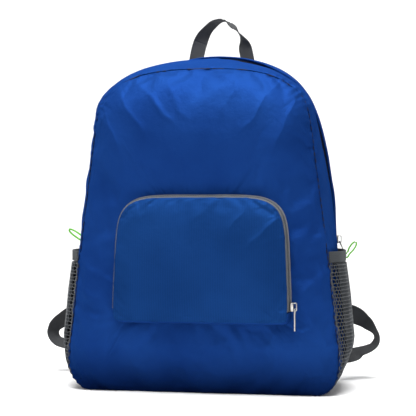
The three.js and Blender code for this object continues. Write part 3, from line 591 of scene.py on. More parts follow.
front_folds = [
    {"x": -52, "z": 366, "turn": -48, "length": 62, "width": 5.0, "rise": 2.6},
    {"x": -84, "z": 352, "turn": -58, "length": 90, "width": 9.0, "rise": 2.4},
    {"x": -112, "z": 335, "turn": -66, "length": 80, "width": 8.0, "rise": 2.0},
    {"x": -28, "z": 372, "turn": -64, "length": 54, "width": 7.0, "rise": 1.8},
    {"x": 40, "z": 374, "turn": 70, "length": 56, "width": 7.0, "rise": 1.8},
    {"x": 78, "z": 362, "turn": 55, "length": 80, "width": 8.0, "rise": 2.2},
    {"x": 108, "z": 338, "turn": 68, "length": 80, "width": 9.0, "rise": 2.0},
    {"x": -132, "z": 152, "turn": -28, "length": 64, "width": 5.5, "rise": 3.0},
    {"x": -135, "z": 120, "turn": -30, "length": 60, "width": 5.0, "rise": 2.8},
    {"x": -146, "z": 98, "turn": -18, "length": 40, "width": 5.0, "rise": 2.2},
    {"x": -148, "z": 52, "turn": -24, "length": 40, "width": 5.0, "rise": 2.0},
    {"x": 143, "z": 142, "turn": 46, "length": 70, "width": 6.0, "rise": 2.6},
    {"x": 140, "z": 186, "turn": 52, "length": 66, "width": 6.5, "rise": 2.2},
    {"x": 150, "z": 96, "turn": 40, "length": 56, "width": 6.0, "rise": 2.0},
    {"x": -60, "z": 72, "turn": -74, "length": 30, "width": 5.0, "rise": 1.4},
    {"x": 36, "z": 70, "turn": 80, "length": 30, "width": 5.0, "rise": 1.4},
    {"x": 92, "z": 70, "turn": 66, "length": 32, "width": 5.0, "rise": 1.5},
]

front = outer_skin("front_panel_cloth", "front_panel", lambda c, n: n.dot(c - bag_middle) > 0, levels=2)
pocket_low, pocket_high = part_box("pocket_face")


def under_pocket(spot, margin):
    """True where the front pocket, or a margin around it, covers the front."""
    return (
        pocket_low.x - margin < spot.x < pocket_high.x + margin
        and pocket_low.z - margin < spot.z < pocket_high.z + margin
    )


sewn_down = set(edge_points(front))
sewn_down.update(v.index for v in front.data.vertices if under_pocket(v.co, 2 * mm))
blow_up(front, sewn_down, pressure=1.6, growth=0.035, cap=7 * mm)
apply_modifier(front, "SUBSURF", levels=1, render_levels=1)
front_edge = [front.data.vertices[i].co.copy() for i in edge_points(front)]
front_edge = ring_in_order(front_edge, bag_middle)
press_folds(front, front_folds)
pucker_edges(front, front_edge, spacing=9.5 * mm, reach=9 * mm, depth=1.0 * mm, seed=3.0)
keep_above_floor(front)
lay_grain(front)
add_wall(front)
finish_piece(front, "bag", nylon, "front_panel")

# %% [markdown]
# ## The side wall and the back
#
# The side wall is one long band from seam to seam. It takes the same puckers as the front panel along
# their shared seam, so that the two sides of the seam rise and fall together.

# %% The side wall and the back panel
side_wall = outer_skin(
    "side_wall_cloth", "gusset", lambda c, n: n.dot(c - bag_middle) > 0 and abs(n.y) < 0.9, levels=2
)
blow_up(side_wall, edge_points(side_wall), pressure=0.6, growth=0.02, cap=2.5 * mm)
apply_modifier(side_wall, "SUBSURF", levels=1, render_levels=1)
sag_under_zip(side_wall)
wall_edges = [side_wall.data.vertices[i].co.copy() for i in edge_points(side_wall)]
wall_front = ring_in_order([p for p in wall_edges if p.y < 0], bag_middle)
wall_back = ring_in_order([p for p in wall_edges if p.y > 0], bag_middle)
pucker_edges(side_wall, wall_front, spacing=9.5 * mm, reach=9 * mm, depth=0.9 * mm, seed=3.0)
pucker_edges(side_wall, wall_back, spacing=8.5 * mm, reach=8 * mm, depth=1.0 * mm, seed=8.0)
keep_above_floor(side_wall)
lay_grain(side_wall)
add_wall(side_wall)
finish_piece(side_wall, "bag", nylon, "gusset")

behind_middle = Vector((0, 0.03, 0.2))
back = outer_skin(
    "back_cloth", "back_panel", lambda c, n: n.dot(c - behind_middle) > 0 and n.y > -0.9, levels=3
)
back_edge = ring_in_order([back.data.vertices[i].co.copy() for i in edge_points(back)], bag_middle)
crumple(back, size=60 * mm, depth=0.8 * mm, seed=2.0)
pucker_edges(back, back_edge, spacing=9 * mm, reach=8 * mm, depth=0.8 * mm, seed=5.0)
keep_above_floor(back)
lay_grain(back)
add_wall(back)
finish_piece(back, "bag", nylon, "back_panel")

# %% [markdown]
# ## Small parts in long rows
#
# Stitches and zip teeth are the same small shape repeated along a line. Each row is one mesh: the shape
# is made once, and copied to evenly spaced places that follow the line and face away from the cloth.

# %% Rows of small parts
def resample(points, spacing, closed=False):
    """Evenly spaced (place, direction) pairs along a line of points."""
    line = list(points) + ([points[0]] if closed else [])
    row = []
    reach = spacing / 2
    for start, end in zip(line, line[1:]):
        step = end - start
        while step.length and reach <= step.length:
            row.append((start + step * (reach / step.length), step.normalized()))
            reach += spacing
        reach -= step.length
    return row


def smooth_line(points, rounds, closed=False):
    """Evens out a line of points and leaves its ends where they are."""
    line = [point.copy() for point in points]
    for _ in range(rounds):
        ends = range(len(line)) if closed else range(1, len(line) - 1)
        moved = {i: (line[i - 1] + line[i] * 2 + line[(i + 1) % len(line)]) / 4 for i in ends}
        for i, place in moved.items():
            line[i] = place
    return line


def facing(place, along, out):
    """The matrix of a small part: its own X lies along the row, and its Z points out."""
    across = out.cross(along).normalized()
    up = along.cross(across).normalized()
    return Matrix.Translation(place) @ Matrix((along, across, up)).transposed().to_4x4()


def pill(length, width, height):
    """A rounded bead, made from a sphere, for a stitch or a zip tooth."""
    deselect()
    bpy.ops.mesh.primitive_uv_sphere_add(segments=8, ring_count=6, radius=0.5)
    bead = bpy.context.object
    bead.scale = (length, width, height)
    bpy.ops.object.transform_apply(scale=True)
    return bead


def repeat(name, template, places):
    """One mesh with a copy of the template at each matrix. The template itself goes."""
    corners = [v.co.copy() for v in template.data.vertices]
    sides = [tuple(polygon.vertices) for polygon in template.data.polygons]
    vertices = [place @ corner for place in places for corner in corners]
    faces = [tuple(v + k * len(corners) for v in side) for k in range(len(places)) for side in sides]
    mesh = bpy.data.meshes.new(name)
    mesh.from_pydata(vertices, [], faces)
    row = bpy.data.objects.new(name, mesh)
    scene.collection.objects.link(row)
    bpy.data.objects.remove(template)
    choose(row)
    bpy.ops.object.shade_smooth()
    return row


def skin_tree(piece):
    """A piece's surface, to find the nearest point of it or where a ray meets it."""
    choose(piece)
    return BVHTree.FromObject(piece, bpy.context.evaluated_depsgraph_get())


def between(line, other):
    """The middle of each point of a line and its nearest point on another line."""
    tree = KDTree(len(other))
    for index, spot in enumerate(other):
        tree.insert(spot, index)
    tree.balance()
    return [(point + tree.find(point)[0]) / 2 for point in line]


def stitch_row(name, line, trees, length, gap, width, material, sink=0.0, closed=False, skip=None):
    """Stitches along a line, seated on the nearest cloth. skip(place) leaves some of them out."""
    places = []
    for index, (place, along) in enumerate(resample(line, length + gap, closed)):
        if place.z < 2 * mm or (skip and skip(place)):
            continue
        out = Vector()
        for tree in trees:
            out += tree.find_nearest(place)[1]
        out.normalize()
        slip = 0.35 * mm * noise.noise(Vector((index * 1.7, 3.0, 0.0)))
        places.append(facing(place + out * (slip - sink), along, out))
    row = repeat(name, pill(length, width, 0.8 * mm), places)
    return finish_piece(row, "bag", material)


# %% [markdown]
# ## Seams
#
# The seam round the front panel shows in the photograph as a thin dark line of stitches with small
# puckers on both sides. The stitches are near-black: partly thread, partly painted shade of the seam's
# groove. Along the top the cloth is pulled open between a few long stitches, and the shade in these open
# slits is painted as dark beads.

# %% Stitches along the front seam
front_tree = skin_tree(front)
wall_tree = skin_tree(side_wall)
seam_line = smooth_line(between(front_edge, wall_front), 4, closed=True)


def loose_at_the_top(place):
    """Leaves some of the stitches out along the top, where the seam has slipped open."""
    return place.z > 380 * mm and noise.noise(Vector((place.x * 34, 1.5, 0.0))) < 0.05


# The front seam's stitches are near-black: partly thread, partly painted shade of the seam's groove.
stitch_row(
    "front_seam_stitches", seam_line, (front_tree, wall_tree),
    length=6.2 * mm, gap=2 * mm, width=1.7 * mm, material=navy_thread_and_shade,
    sink=-0.4 * mm, closed=True, skip=loose_at_the_top,
)

# %% Painted shade in the open slits of the top seam
top_slit_shades = [
    {"x": -92, "length": 27, "height": 2.0},
    {"x": -6, "length": 31, "height": 1.7},
    {"x": 26, "length": 11, "height": 1.3},
    {"x": 51, "length": 17, "height": 1.6},
    {"x": 90, "length": 12, "height": 1.2},
    {"x": 104, "length": 9, "height": 1.2},
]
top_seam = [p for p in seam_line if p.z > 300 * mm]
for number, slit in enumerate(top_slit_shades):
    middle = min(top_seam, key=lambda p: abs(p.x - slit["x"] * mm))
    along = (middle - min(top_seam, key=lambda p: abs(p.x - (slit["x"] - 8) * mm))).normalized()
    out = (front_tree.find_nearest(middle)[1] + wall_tree.find_nearest(middle)[1]).normalized()
    # Each slit is a near-black bead: painted shade where the seam stands open.
    shade = pill(slit["length"] * mm, slit["height"] * mm, 1.6 * mm)
    row = repeat(f"seam_slit_shade_{number}", shade, [facing(middle + out * 0.1 * mm, along, out)])
    finish_piece(row, "bag", navy_thread_and_shade)

# %% [markdown]
# ## The main zip
#
# The zip runs over the top, near the back. Its tape is sewn under the side wall, and the edge of the side
# wall lies over it as a loose flap, which stands open at the top right and shows the dark tape there.

# %% The main zip
def over_the_top(points):
    """Points of an arch in order, from the left foot over the top to the right foot."""
    return sorted(points, key=lambda p: -math.atan2(p.z - bag_middle.z, p.x))


zip_low, zip_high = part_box("main_zip")
zip_middle_y = (zip_low.y + zip_high.y) / 2
main_tape = outer_skin(
    "main_zip_tape_cloth", "main_zip", lambda c, n: n.dot(c - bag_middle) > 0 and abs(n.y) < 0.8, levels=2
)
sag_under_zip(main_tape)
zip_edges = [main_tape.data.vertices[i].co.copy() for i in edge_points(main_tape)]
zip_front = [p for p in zip_edges if p.y < zip_middle_y]
zip_back = [p for p in zip_edges if p.y >= zip_middle_y]
zip_foot = zip_low.z + 2 * mm
zip_front = over_the_top([p for p in zip_front if p.z > zip_foot])
zip_back = over_the_top([p for p in zip_back if p.z > zip_foot])
zip_line = smooth_line(between(zip_front, zip_back), 3)
lay_grain(main_tape)
tape_tree = skin_tree(main_tape)
add_wall(main_tape)
finish_piece(main_tape, "bag", navy_tape, "main_zip")


def teeth_row(name, line, tree, material):
    """Two rows of teeth that meet in the middle of a zip."""
    places = []
    for index, (place, along) in enumerate(resample(line, 1.5 * mm)):
        out = tree.find_nearest(place)[1]
        across = out.cross(along).normalized()
        side = 1 if index % 2 else -1
        places.append(facing(place + across * side * 0.75 * mm + out * 0.35 * mm, across, out))
    return finish_piece(repeat(name, pill(2.6 * mm, 1.1 * mm, 1.2 * mm), places), "bag", material)


teeth_row("main_zip_teeth", zip_line, tape_tree, navy_coil)


# %% Flaps over the main zip
def flap_over(name, line, far_line, cover, rise):
    """A strip of cloth from a sewn line towards another, as far as cover(place) says, from 0 to 1."""
    far_tree = KDTree(len(far_line))
    for index, spot in enumerate(far_line):
        far_tree.insert(spot, index)
    far_tree.balance()
    rows = []
    steps = (-0.5, -0.2, 0.0, 0.25, 0.5, 0.75, 0.92, 1.0, 0.97)
    lifts = (0.3, 0.8, 1.0, 1.0, 0.95, 0.85, 0.7, 0.35, 0.0)
    for place, _ in resample(line, 3 * mm):
        reach = far_tree.find(place)[0] - place
        out = tape_tree.find_nearest(place)[1]
        wave = 1 + 0.5 * noise.noise(place * 40)
        width = cover(place)
        rows.append(
            [
                place + reach * (step * width if step > 0 else step * 0.3) + out * (lift * rise * wave)
                for step, lift in zip(steps, lifts)
            ]
        )
    count = len(steps)
    faces = [
        (i * count + k, i * count + k + 1, (i + 1) * count + k + 1, (i + 1) * count + k)
        for i in range(len(rows) - 1)
        for k in range(count - 1)
    ]
    mesh = bpy.data.meshes.new(name)
    mesh.from_pydata([place for row in rows for place in row], [], faces)
    flap = bpy.data.objects.new(name, mesh)
    scene.collection.objects.link(flap)
    apply_modifier(flap, "SUBSURF", levels=1, render_levels=1)
    lay_grain(flap)
    apply_modifier(flap, "SOLIDIFY", thickness=0.5 * mm, offset=0)
    bpy.ops.object.shade_smooth()
    finish_piece(flap, "bag", nylon)


def front_flap_cover(place):
    """The flap hides the teeth, apart from a wide gap at the top right and a narrow one down that side."""
    if place.x < 0:
        return 0.84
    wide_gap = 0.78 * math.exp(-(((place.x - 84 * mm) / (66 * mm)) ** 4))
    return 0.84 - max(wide_gap, 0.44)


flap_over("zip_flap_front", zip_front, zip_back, front_flap_cover, rise=1.6 * mm)
flap_over("zip_flap_back", zip_back, zip_front, lambda place: 0.14, rise=2.8 * mm)

# %% [markdown]
# ## The front pocket
#
# The pocket's face is a slightly duller nylon with faint upright ribs. It is sewn to a grey zip band,
# which shows along its top and right edges. Its folds run down from the seam, and one wider, light fold
# crosses the top right corner.

# %% The pocket's face
pocket_folds = [
    {"x": -62, "z": 236, "turn": 58, "length": 34, "width": 6.0, "rise": 1.8},
    {"x": -20, "z": 240, "turn": 84, "length": 26, "width": 5.0, "rise": 1.0},
    {"x": 14, "z": 236, "turn": 42, "length": 46, "width": 6.0, "rise": 1.8},
    {"x": 52, "z": 222, "turn": 66, "length": 62, "width": 8.0, "rise": 2.2},
    {"x": 84, "z": 206, "turn": 44, "length": 58, "width": 7.0, "rise": 3.0},
    {"x": 98, "z": 196, "turn": 18, "length": 34, "width": 4.5, "rise": 1.6},
    {"x": 100, "z": 160, "turn": 22, "length": 32, "width": 4.0, "rise": 1.0},
    {"x": -96, "z": 168, "turn": -14, "length": 34, "width": 4.5, "rise": 1.0},
    {"x": -98, "z": 142, "turn": 10, "length": 26, "width": 4.0, "rise": 1.1},
    {"x": -98, "z": 112, "turn": -12, "length": 30, "width": 5.0, "rise": 1.4},
    {"x": -84, "z": 222, "turn": 40, "length": 30, "width": 6.0, "rise": 1.4},
    {"x": 10, "z": 101, "turn": 2, "length": 150, "width": 3.0, "rise": 0.8},
]
pocket_middle = (pocket_low + pocket_high) / 2

pocket = outer_skin("pocket_face_cloth", "pocket_face", lambda c, n: n.y < -0.4, levels=2)
blow_up(pocket, edge_points(pocket), pressure=1.2, growth=0.03, cap=4 * mm)
apply_modifier(pocket, "SUBSURF", levels=1, render_levels=1)
pocket_edge = [pocket.data.vertices[i].co.copy() for i in edge_points(pocket)]
pocket_edge = ring_in_order(pocket_edge, pocket_middle)
press_folds(pocket, pocket_folds)
pucker_edges(pocket, pocket_edge, spacing=8.5 * mm, reach=6 * mm, depth=0.6 * mm, seed=6.0)
lay_grain(pocket)
add_wall(pocket)
finish_piece(pocket, "bag", pocket_nylon, "pocket_face")

# %% The pocket's zip band
def away_from_pocket(middle, normal):
    """True for the faces of the pocket's walls that look up, down or out to the sides."""
    return Vector((normal.x, 0, normal.z)).dot(middle - pocket_middle) > 0 and abs(normal.y) < 0.9


pocket_zip_foot = 108 * mm


def pocket_angle(place):
    return -math.atan2(place.z - pocket_zip_foot, place.x - pocket_middle.x)


pocket_tape = outer_skin("pocket_zip_tape_cloth", "pocket_zip", away_from_pocket, levels=2)
face_line = [p for p in pocket_edge if p.z > pocket_zip_foot - 2 * mm]
tape_edges = [pocket_tape.data.vertices[i].co.copy() for i in edge_points(pocket_tape)]
tape_front = between(face_line, tape_edges)
tape_front.sort(key=pocket_angle)
tape_back = [p for p in tape_edges if p.z > pocket_zip_foot + 1 * mm]
tape_back = [p for p in tape_back if min((p - q).length for q in tape_front) > 5 * mm]
tape_back.sort(key=pocket_angle)
pocket_zip_line = smooth_line(between(tape_front, tape_back), 3)
lay_grain(pocket_tape)
pocket_tape_tree = skin_tree(pocket_tape)
add_wall(pocket_tape)
finish_piece(pocket_tape, "bag", grey_tape, "pocket_zip")
teeth_row("pocket_zip_teeth", pocket_zip_line, pocket_tape_tree, grey_coil)

pocket_wall = outer_skin("pocket_base_cloth", "pocket_base", away_from_pocket, levels=2)
crumple(pocket_wall, size=18 * mm, depth=0.5 * mm, seed=4.0)
lay_grain(pocket_wall)
add_wall(pocket_wall)
finish_piece(pocket_wall, "bag", nylon, "pocket_base")

# %% [markdown]
# ## Straps that follow their CAD node
#
# Each CAD strap is a rectangle swept along a line. The rectangles are read back from its corners, and a
# finer webbing is swept through them, with rounded, slightly thicker edges and a weave that runs along
# its length.

# %% Sweep webbing through a CAD strap
def strip_stations(node, width, thickness):
    """The rectangles that a CAD strap was swept through, in order: (middle, across, through)."""
    mesh = bmesh.new()
    mesh.from_mesh(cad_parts[node].data)
    bmesh.ops.remove_doubles(mesh, verts=mesh.verts, dist=0.01 * mm)

    def partner(corner, length):
        near = min(corner.link_edges, key=lambda edge: abs(edge.calc_length() - length))
        return near.other_vert(corner)

    owner = {}
    for corner in mesh.verts:
        beside = partner(corner, width)
        corners = frozenset((corner, beside, partner(corner, thickness), partner(beside, thickness)))
        owner[corner] = corners
    links = {corners: set() for corners in owner.values()}
    for edge in mesh.edges:
        first, second = (owner[corner] for corner in edge.verts)
        if first != second:
            links[first].add(second)
            links[second].add(first)
    ends = [corners for corners, near in links.items() if len(near) == 1]
    here = min(ends or links, key=lambda corners: sum(v.co.x + v.co.z for v in corners))
    corner = min(here, key=lambda v: (v.co.x, v.co.y, v.co.z))
    stations = []
    passed = set()
    while here:
        passed.add(here)
        across = (partner(corner, width).co - corner.co) / 2
        through = (partner(corner, thickness).co - corner.co) / 2
        stations.append((sum((v.co for v in here), Vector()) / 4, across, through))
        following = [corners for corners in links[here] if corners not in passed]
        here = following[0] if following else None
        if here:
            corner = min(here, key=lambda v: (v.co - corner.co).length)
    mesh.free()
    return stations


def in_between(before, start, end, after, share):
    """A point on the smooth curve through four values, between the middle two."""
    bend = (end - before) * share + (before * 2 - start * 5 + end * 4 - after) * share**2
    return start + (bend + (start * 3 - before - end * 3 + after) * share**3) / 2


webbing_profile = (
    (-1.0, 0.0), (-0.985, 0.8), (-0.93, 1.0), (-0.86, 0.72), (-0.5, 0.66), (0.0, 0.7),
    (0.5, 0.66), (0.86, 0.72), (0.93, 1.0), (0.985, 0.8),
)


def sweep(name, stations, finer, closed=False, profile=webbing_profile):
    """A strap through the stations, with a UV map in metres: across the strap and along it."""
    ring = list(profile) + [(-across, -through) for across, through in profile]
    last = len(stations) if closed else len(stations) - 1

    def station(index):
        return stations[index % len(stations)] if closed else stations[min(max(index, 0), last)]

    rows = []
    for step in range(last * finer + (0 if closed else 1)):
        index, part = divmod(step, finer)
        near = [station(index + offset) for offset in (-1, 0, 1, 2)]
        middle, across, through = (in_between(*(row[k] for row in near), part / finer) for k in range(3))
        through = through.normalized() * station(index)[2].length
        across = across.normalized() * station(index)[1].length
        rows.append((middle, across, through))
    vertices = [m + a * u + t * v for m, a, t in rows for u, v in ring]
    reach = [0.0]
    for first, second in zip(rows, rows[1:] + rows[:1]):
        reach.append(reach[-1] + (second[0] - first[0]).length)
    count = len(ring)
    faces = []
    spots = []
    half_width = rows[0][1].length
    around = [ring[k % count][0] * half_width for k in range(count + 1)]
    for i in range(len(rows) if closed else len(rows) - 1):
        following = (i + 1) % len(rows)
        for k in range(count):
            beside = (k + 1) % count
            near, far = i * count, following * count
            faces.append((near + k, far + k, far + beside, near + beside))
            spots += [(around[k], reach[i]), (around[k], reach[i + 1])]
            spots += [(around[k + 1], reach[i + 1]), (around[k + 1], reach[i])]
    if not closed:
        for first in (0, (len(rows) - 1) * count):
            cap = [first + k for k in range(count)]
            faces.append(tuple(cap if first == 0 else reversed(cap)))
            spots += [(u * half_width, 0.0) for u, _ in (ring if first == 0 else reversed(ring))]
    mesh = bpy.data.meshes.new(name)
    mesh.from_pydata(vertices, [], faces)
    grain = mesh.uv_layers.new(name="grain")
    for loop, spot in zip(grain.data, spots):
        loop.uv = spot
    strap = bpy.data.objects.new(name, mesh)
    scene.collection.objects.link(strap)
    choose(strap)
    bpy.ops.object.mode_set(mode="EDIT")
    bpy.ops.mesh.select_all(action="SELECT")
    bpy.ops.mesh.normals_make_consistent(inside=False)
    bpy.ops.object.mode_set(mode="OBJECT")
    bpy.ops.object.shade_smooth()
    print(name, "is", round(reach[-1 if closed else -2] / mm), "mm long")
    return strap


# %% The grab handle and the strap webbing
handle_width = 20 * mm
strap_width = 25 * mm
webbing_thickness = 1.6 * mm

handle_stations = strip_stations("grab_handle", handle_width, webbing_thickness)
handle = sweep("grab_handle_webbing", handle_stations, finer=5)
finish_piece(handle, "bag", webbing_cloth, "grab_handle")


def turned(stations, side, turns):
    """Stations turned about their own line by a table of (share of the length, degrees)."""
    result = []
    for index, (middle, across, through) in enumerate(stations):
        share = index / (len(stations) - 1)
        before = max((row for row in turns if row[0] <= share), key=lambda row: row[0])
        after = min((row for row in turns if row[0] >= share), key=lambda row: row[0])
        part = (share - before[0]) / (after[0] - before[0]) if after[0] > before[0] else 0.0
        angle = math.radians(before[1] + (after[1] - before[1]) * part)
        along = stations[max(index - 1, 0)][0] - stations[min(index + 1, len(stations) - 1)][0]
        turn = Matrix.Rotation(side * angle, 3, along.normalized())
        result.append((middle, turn @ across, turn @ through))
    return result


web_turns = (
    (0, 0), (0.06, 10), (0.14, 20), (0.24, 12), (0.31, 4),
    (0.38, -32), (0.5, -34), (0.64, -6), (0.72, 0), (1, 0),
)
for side, sign in (("left", -1), ("right", 1)):
    stations = strip_stations(f"strap_webbing_{side}", strap_width, webbing_thickness)
    strap = sweep(f"strap_webbing_ribbed_{side}", turned(stations, sign, web_turns), finer=4)
    finish_piece(strap, "bag", webbing_cloth, f"strap_webbing_{side}")

# %% The green ribbon loops on the main zip's pulls
ribbon_width = 4 * mm
ribbon_thickness = 1 * mm
ribbon_profile = ((-1.0, 0.0), (-0.95, 1.6), (-0.6, 2.1), (0.0, 2.2), (0.6, 2.1), (0.95, 1.6))

for side in ("left", "right"):
    loop_stations = strip_stations(f"pull_loop_{side}", ribbon_width, ribbon_thickness)
    ribbon = sweep(f"green_ribbon_{side}", loop_stations, finer=4, closed=True, profile=ribbon_profile)
    finish_piece(ribbon, f"{side}_pull", green_ribbon, f"pull_loop_{side}")

# %% [markdown]
# ## The net side pockets
#
# The net is a knitted mesh with small, upright six-sided holes. It is drawn as a sheet of six-sided
# faces over the side of the bag, and Wireframe turns the sheet into threads. A second, darker sheet
# just under it stands partly for the net's inner layer and partly for painted shade, which darkens the
# holes. The front edge is sewn into the front seam, and an elastic band runs along the mouth.

# %% A surface for the net to lie on
hexagon_width = 4.0 * mm
hexagon_height = 6.0 * mm
hexagon_corners = ((0, 0.5), (0.5, 0.25), (0.5, -0.25), (0, -0.5), (-0.5, -0.25), (-0.5, 0.25))
net_thread = 1.35 * mm
lining_thread = 1.7 * mm
net_foot = 13 * mm
net_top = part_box("pocket_band_left")[0].z + 1 * mm


def filled_tree(node, side):
    """The outer side of a CAD net, with its gaps filled, for casting rays onto."""
    mesh = bmesh.new()
    mesh.from_mesh(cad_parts[node].data)
    bmesh.ops.remove_doubles(mesh, verts=mesh.verts, dist=0.02 * mm)
    inner = [face for face in mesh.faces if face.normal.x * side < 0.3]
    bmesh.ops.delete(mesh, geom=inner, context="FACES")
    rims = [edge for edge in mesh.edges if edge.is_boundary]
    bmesh.ops.holes_fill(mesh, edges=rims, sides=4)
    tree = BVHTree.FromBMesh(mesh)
    mesh.free()
    return tree


def side_spot(trees, side, y, z, lifts):
    """The outermost point that a level ray from the side meets on any of the surfaces."""
    start = Vector((side * 0.5, y, z))
    inwards = Vector((-side, 0, 0))
    reaches = []
    for tree, lift in zip(trees, lifts):
        hit = tree.ray_cast(start, inwards)[0]
        if hit:
            reaches.append(abs(hit.x) + lift)
    return Vector((side * max(reaches), y, z)) if reaches else None


# %% The nets
net_trees = {}
for side, sign in (("left", -1), ("right", 1)):
    trees = (filled_tree(f"net_pocket_{side}", sign), wall_tree)
    net_trees[side] = trees
    net_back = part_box(f"net_pocket_{side}")[1].y - 1 * mm
    mesh = bmesh.new()
    corners = {}

    def corner_at(y, z):
        key = (round(y / mm, 2), round(z / mm, 2))
        if key not in corners:
            spot = side_spot(trees, sign, y, z, (0.0, 0.9 * mm))
            sway_y = noise.noise(Vector((y, z, 0)) * 90)
            sway = Vector((0, sway_y, noise.noise(Vector((z, y, 3)) * 90)))
            corners[key] = mesh.verts.new(spot + sway * 0.5 * mm) if spot else None
        return corners[key]

    row = 0
    z = net_foot
    while z < net_top:
        y = seam_y + 0.5 * mm + (row % 2) * hexagon_width / 2
        while y < net_back:
            ring = [
                corner_at(y + across * hexagon_width, z + up * hexagon_height)
                for across, up in hexagon_corners
            ]
            if all(ring):
                mesh.faces.new(ring if sign < 0 else reversed(ring))
            y += hexagon_width
        row += 1
        z += 0.75 * hexagon_height
    data = bpy.data.meshes.new(f"net_threads_{side}")
    mesh.to_mesh(data)
    mesh.free()
    net = bpy.data.objects.new(data.name, data)
    scene.collection.objects.link(net)
    choose(net)
    # The lining is a near-black copy of the net: partly its inner layer, partly painted shade in the holes.
    bpy.ops.object.duplicate()
    under = bpy.context.object
    under.name = f"net_lining_{side}"
    for vertex in under.data.vertices:
        vertex.co += Vector((-sign * 1.0 * mm, hexagon_width / 2, 0))
    apply_modifier(under, "WIREFRAME", thickness=lining_thread, use_boundary=True, use_even_offset=False)
    lay_grain(under)
    bpy.ops.object.shade_smooth()
    finish_piece(under, "bag", lining_shade_cloth)
    apply_modifier(net, "WIREFRAME", thickness=net_thread, use_boundary=True, use_even_offset=False)
    lay_grain(net)
    bpy.ops.object.shade_smooth()
    finish_piece(net, "bag", net_cloth, f"net_pocket_{side}")

# %% The elastic bands and the bound edges of the nets
elastic_half_width = 7 * mm
elastic_half_thickness = 0.9 * mm
elastic_steps = 28
binding_width = 11 * mm
binding_steps = 24
elastic_profile = (
    (-1.0, 0.0), (-0.97, 0.8), (-0.85, 1.0), (-0.4, 0.85),
    (0.0, 1.0), (0.4, 0.85), (0.85, 1.0), (0.97, 0.8),
)


def upright_stations(line, half_width, half_thickness):
    """Stations for a band that stands on edge along a line over the side of the bag."""
    stations = []
    for index, place in enumerate(line):
        along = (line[min(index + 1, len(line) - 1)] - line[max(index - 1, 0)]).normalized()
        out = along.cross(Vector((0, 0, 1))).normalized()
        across = out.cross(along).normalized()
        stations.append((place, across * half_width, out * half_thickness))
    return stations


for side, sign in (("left", -1), ("right", 1)):
    band_low, band_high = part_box(f"pocket_band_{side}")
    trees = (filled_tree(f"pocket_band_{side}", sign), wall_tree)
    band_z = (band_low.z + band_high.z) / 2
    line = []
    for step in range(elastic_steps + 1):
        y = seam_y + 0.5 * mm + (band_high.y - seam_y - 1 * mm) * step / elastic_steps
        line.append(side_spot(trees, sign, y, band_z, (-0.8 * mm, 1.2 * mm)))
    line = smooth_line(line, 2)
    stations = upright_stations(line, elastic_half_width, elastic_half_thickness)
    band = sweep(f"elastic_band_{side}", stations, finer=3, profile=elastic_profile)
    crumple(band, size=6 * mm, depth=0.25 * mm, seed=9.0)
    finish_piece(band, "bag", elastic_cloth, f"pocket_band_{side}")

    stations = []
    for step in range(binding_steps + 1):
        z = net_foot + (net_top - net_foot) * step / binding_steps
        rear, front_side = (
            side_spot(net_trees[side], sign, y, z, (0.8 * mm, 1.5 * mm))
            for y in (net_back, net_back - binding_width)
        )
        across = (front_side - rear) / 2
        out = Vector((0, 0, sign)).cross(across).normalized()
        stations.append(((rear + front_side) / 2, across, out * 0.7 * mm))
    binding = sweep(f"net_back_binding_{side}", stations, finer=2)
    finish_piece(binding, "bag", webbing_cloth)

# %% [markdown]
# ## The shoulder straps
#
# Each strap is a thin pad of nylon over foam, with a bound edge and a length of webbing sewn down its
# middle. The webbing runs on round the upper bar of a ladder adjuster.

# %% The padded shoulder straps
def stations_on(line, out, half_width, half_thickness):
    """Stations for a flat strap along a line, with its face turned to out."""
    stations = []
    for index, place in enumerate(line):
        along = (line[min(index + 1, len(line) - 1)] - line[max(index - 1, 0)]).normalized()
        across = along.cross(out).normalized()
        stations.append((place, across * half_width, across.cross(along).normalized() * half_thickness))
    return stations


web_steps = 29
for side, sign in (("left", -1), ("right", 1)):
    pad = outer_skin(f"shoulder_pad_cloth_{side}", f"shoulder_pad_{side}", lambda c, n: True, levels=2)
    crumple(pad, size=30 * mm, depth=0.5 * mm, seed=11.0 + sign)
    lay_grain(pad)
    pad_tree = skin_tree(pad)
    finish_piece(pad, "bag", nylon, f"shoulder_pad_{side}")

    pad_low, pad_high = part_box(f"shoulder_pad_{side}")
    rim = [v.co.copy() for v in pad.data.vertices if abs(v.normal.y) < 0.3]

    web_top = pad_high.z - 5 * mm
    web_foot = pad_low.z + 6 * mm
    web_line = []
    for step in range(web_steps + 1):
        z = web_top + (web_foot - web_top) * step / web_steps
        level = [p.x for p in rim if abs(p.z - z) < 14 * mm]
        x = (min(level) + max(level)) / 2
        hit = pad_tree.ray_cast(Vector((x, 0.3, z)), Vector((0, -1, 0)))[0]
        if hit:
            web_line.append(hit + Vector((0, 0.9 * mm, 0)))
    web_line = smooth_line(web_line, 4)
    stations = stations_on(web_line, Vector((0, 1, 0)), strap_width / 2, webbing_thickness / 2)
    web = sweep(f"pad_webbing_{side}", stations, finer=3)
    web_tree = skin_tree(web)
    finish_piece(web, "bag", webbing_cloth)

    for edge_name, edge_side in (("inner", -sign), ("outer", sign)):
        rim_line = []
        for place in web_line:
            level = [p for p in rim if abs(p.z - place.z) < 9 * mm and (p.x - place.x) * edge_side > 0]
            if level:
                outermost = max(level, key=lambda p: p.x * edge_side)
                rim_line.append(outermost + Vector((edge_side * 0.2 * mm, 0, 0)))
        rim_line = smooth_line(rim_line, 5)
        stations = stations_on(rim_line, Vector((edge_side, 0, 0)), 4.6 * mm, 0.9 * mm)
        binding = sweep(f"pad_binding_{edge_name}_{side}", stations, finer=3)
        finish_piece(binding, "bag", webbing_cloth)
        beside = Vector((edge_side * 10.4 * mm, 0, 0))
        row = [place + beside for place in web_line]
        stitch_row(
            f"pad_stitches_{edge_name}_{side}", row, (web_tree,),
            length=3 * mm, gap=1.4 * mm, width=0.9 * mm, material=charcoal_thread, sink=-0.9 * mm,
        )

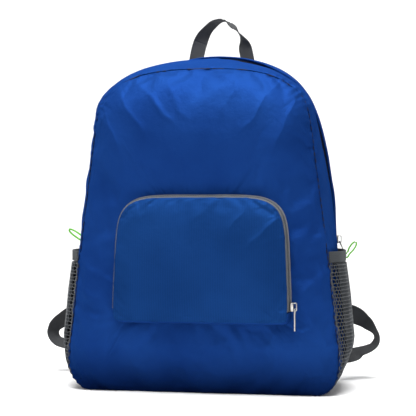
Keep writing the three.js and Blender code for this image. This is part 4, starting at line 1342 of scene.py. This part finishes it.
# %% Stitches where the grab handle is sewn on
handle_tree = skin_tree(handle)
foot_x = 37 * mm
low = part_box("grab_handle")[0].z + 3 * mm
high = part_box("back_panel")[1].z - 4 * mm
for side, sign in (("left", -1), ("right", 1)):
    box_corners = [(-7.5, low), (7.5, low), (7.5, high), (-7.5, high)]
    loop = []
    for across, z in box_corners:
        start = Vector((sign * foot_x + across * mm, 0.2, z))
        hit = handle_tree.ray_cast(start, Vector((0, -1, 0)))[0]
        loop.append(hit or handle_tree.find_nearest(start)[0])
    stitch_row(
        f"handle_stitches_{side}", loop, (handle_tree,),
        length=2.6 * mm, gap=1.2 * mm, width=0.9 * mm, material=charcoal_thread, closed=True,
    )

# %% [markdown]
# ## Adjusters, sliders and pulls
#
# The hard parts keep their CAD shape. Their flat faces are joined into whole faces, and every edge gets a
# small rounded bevel, as on moulded plastic and tumbled metal.

# %% Bevelled hard parts
def bevelled(name, node, width, body, material):
    """A copy of a hard CAD node with whole faces and rounded edges."""
    deselect()
    part = bpy.data.objects.new(name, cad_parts[node].data.copy())
    scene.collection.objects.link(part)
    choose(part)
    bpy.ops.object.mode_set(mode="EDIT")
    bpy.ops.mesh.select_all(action="SELECT")
    bpy.ops.mesh.remove_doubles(threshold=0.01 * mm)
    bpy.ops.mesh.dissolve_limited(angle_limit=math.radians(1))
    bpy.ops.object.mode_set(mode="OBJECT")
    sharp = math.radians(35)
    apply_modifier(part, "BEVEL", width=width, segments=3, limit_method="ANGLE", angle_limit=sharp)
    bpy.ops.object.shade_smooth_by_angle(angle=math.radians(40))
    return finish_piece(part, body, material, node)


for side in ("left", "right"):
    bevelled(f"adjuster_moulded_{side}", f"adjuster_{side}", 0.7 * mm, "bag", black_plastic)
    bevelled(f"main_slider_metal_{side}", f"main_slider_{side}", 0.35 * mm, "bag", nickel)
    bevelled(f"main_pull_metal_{side}", f"main_pull_{side}", 0.25 * mm, f"{side}_pull", nickel)
bevelled("pocket_slider_metal", "pocket_slider", 0.35 * mm, "bag", nickel)
bevelled("pocket_pull_metal", "pocket_pull", 0.25 * mm, "front_pull", nickel)

# %% Check that no plain CAD node is left
left = [name for name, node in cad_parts.items() if not node.hide_render]
print("CAD nodes still shown:", left)
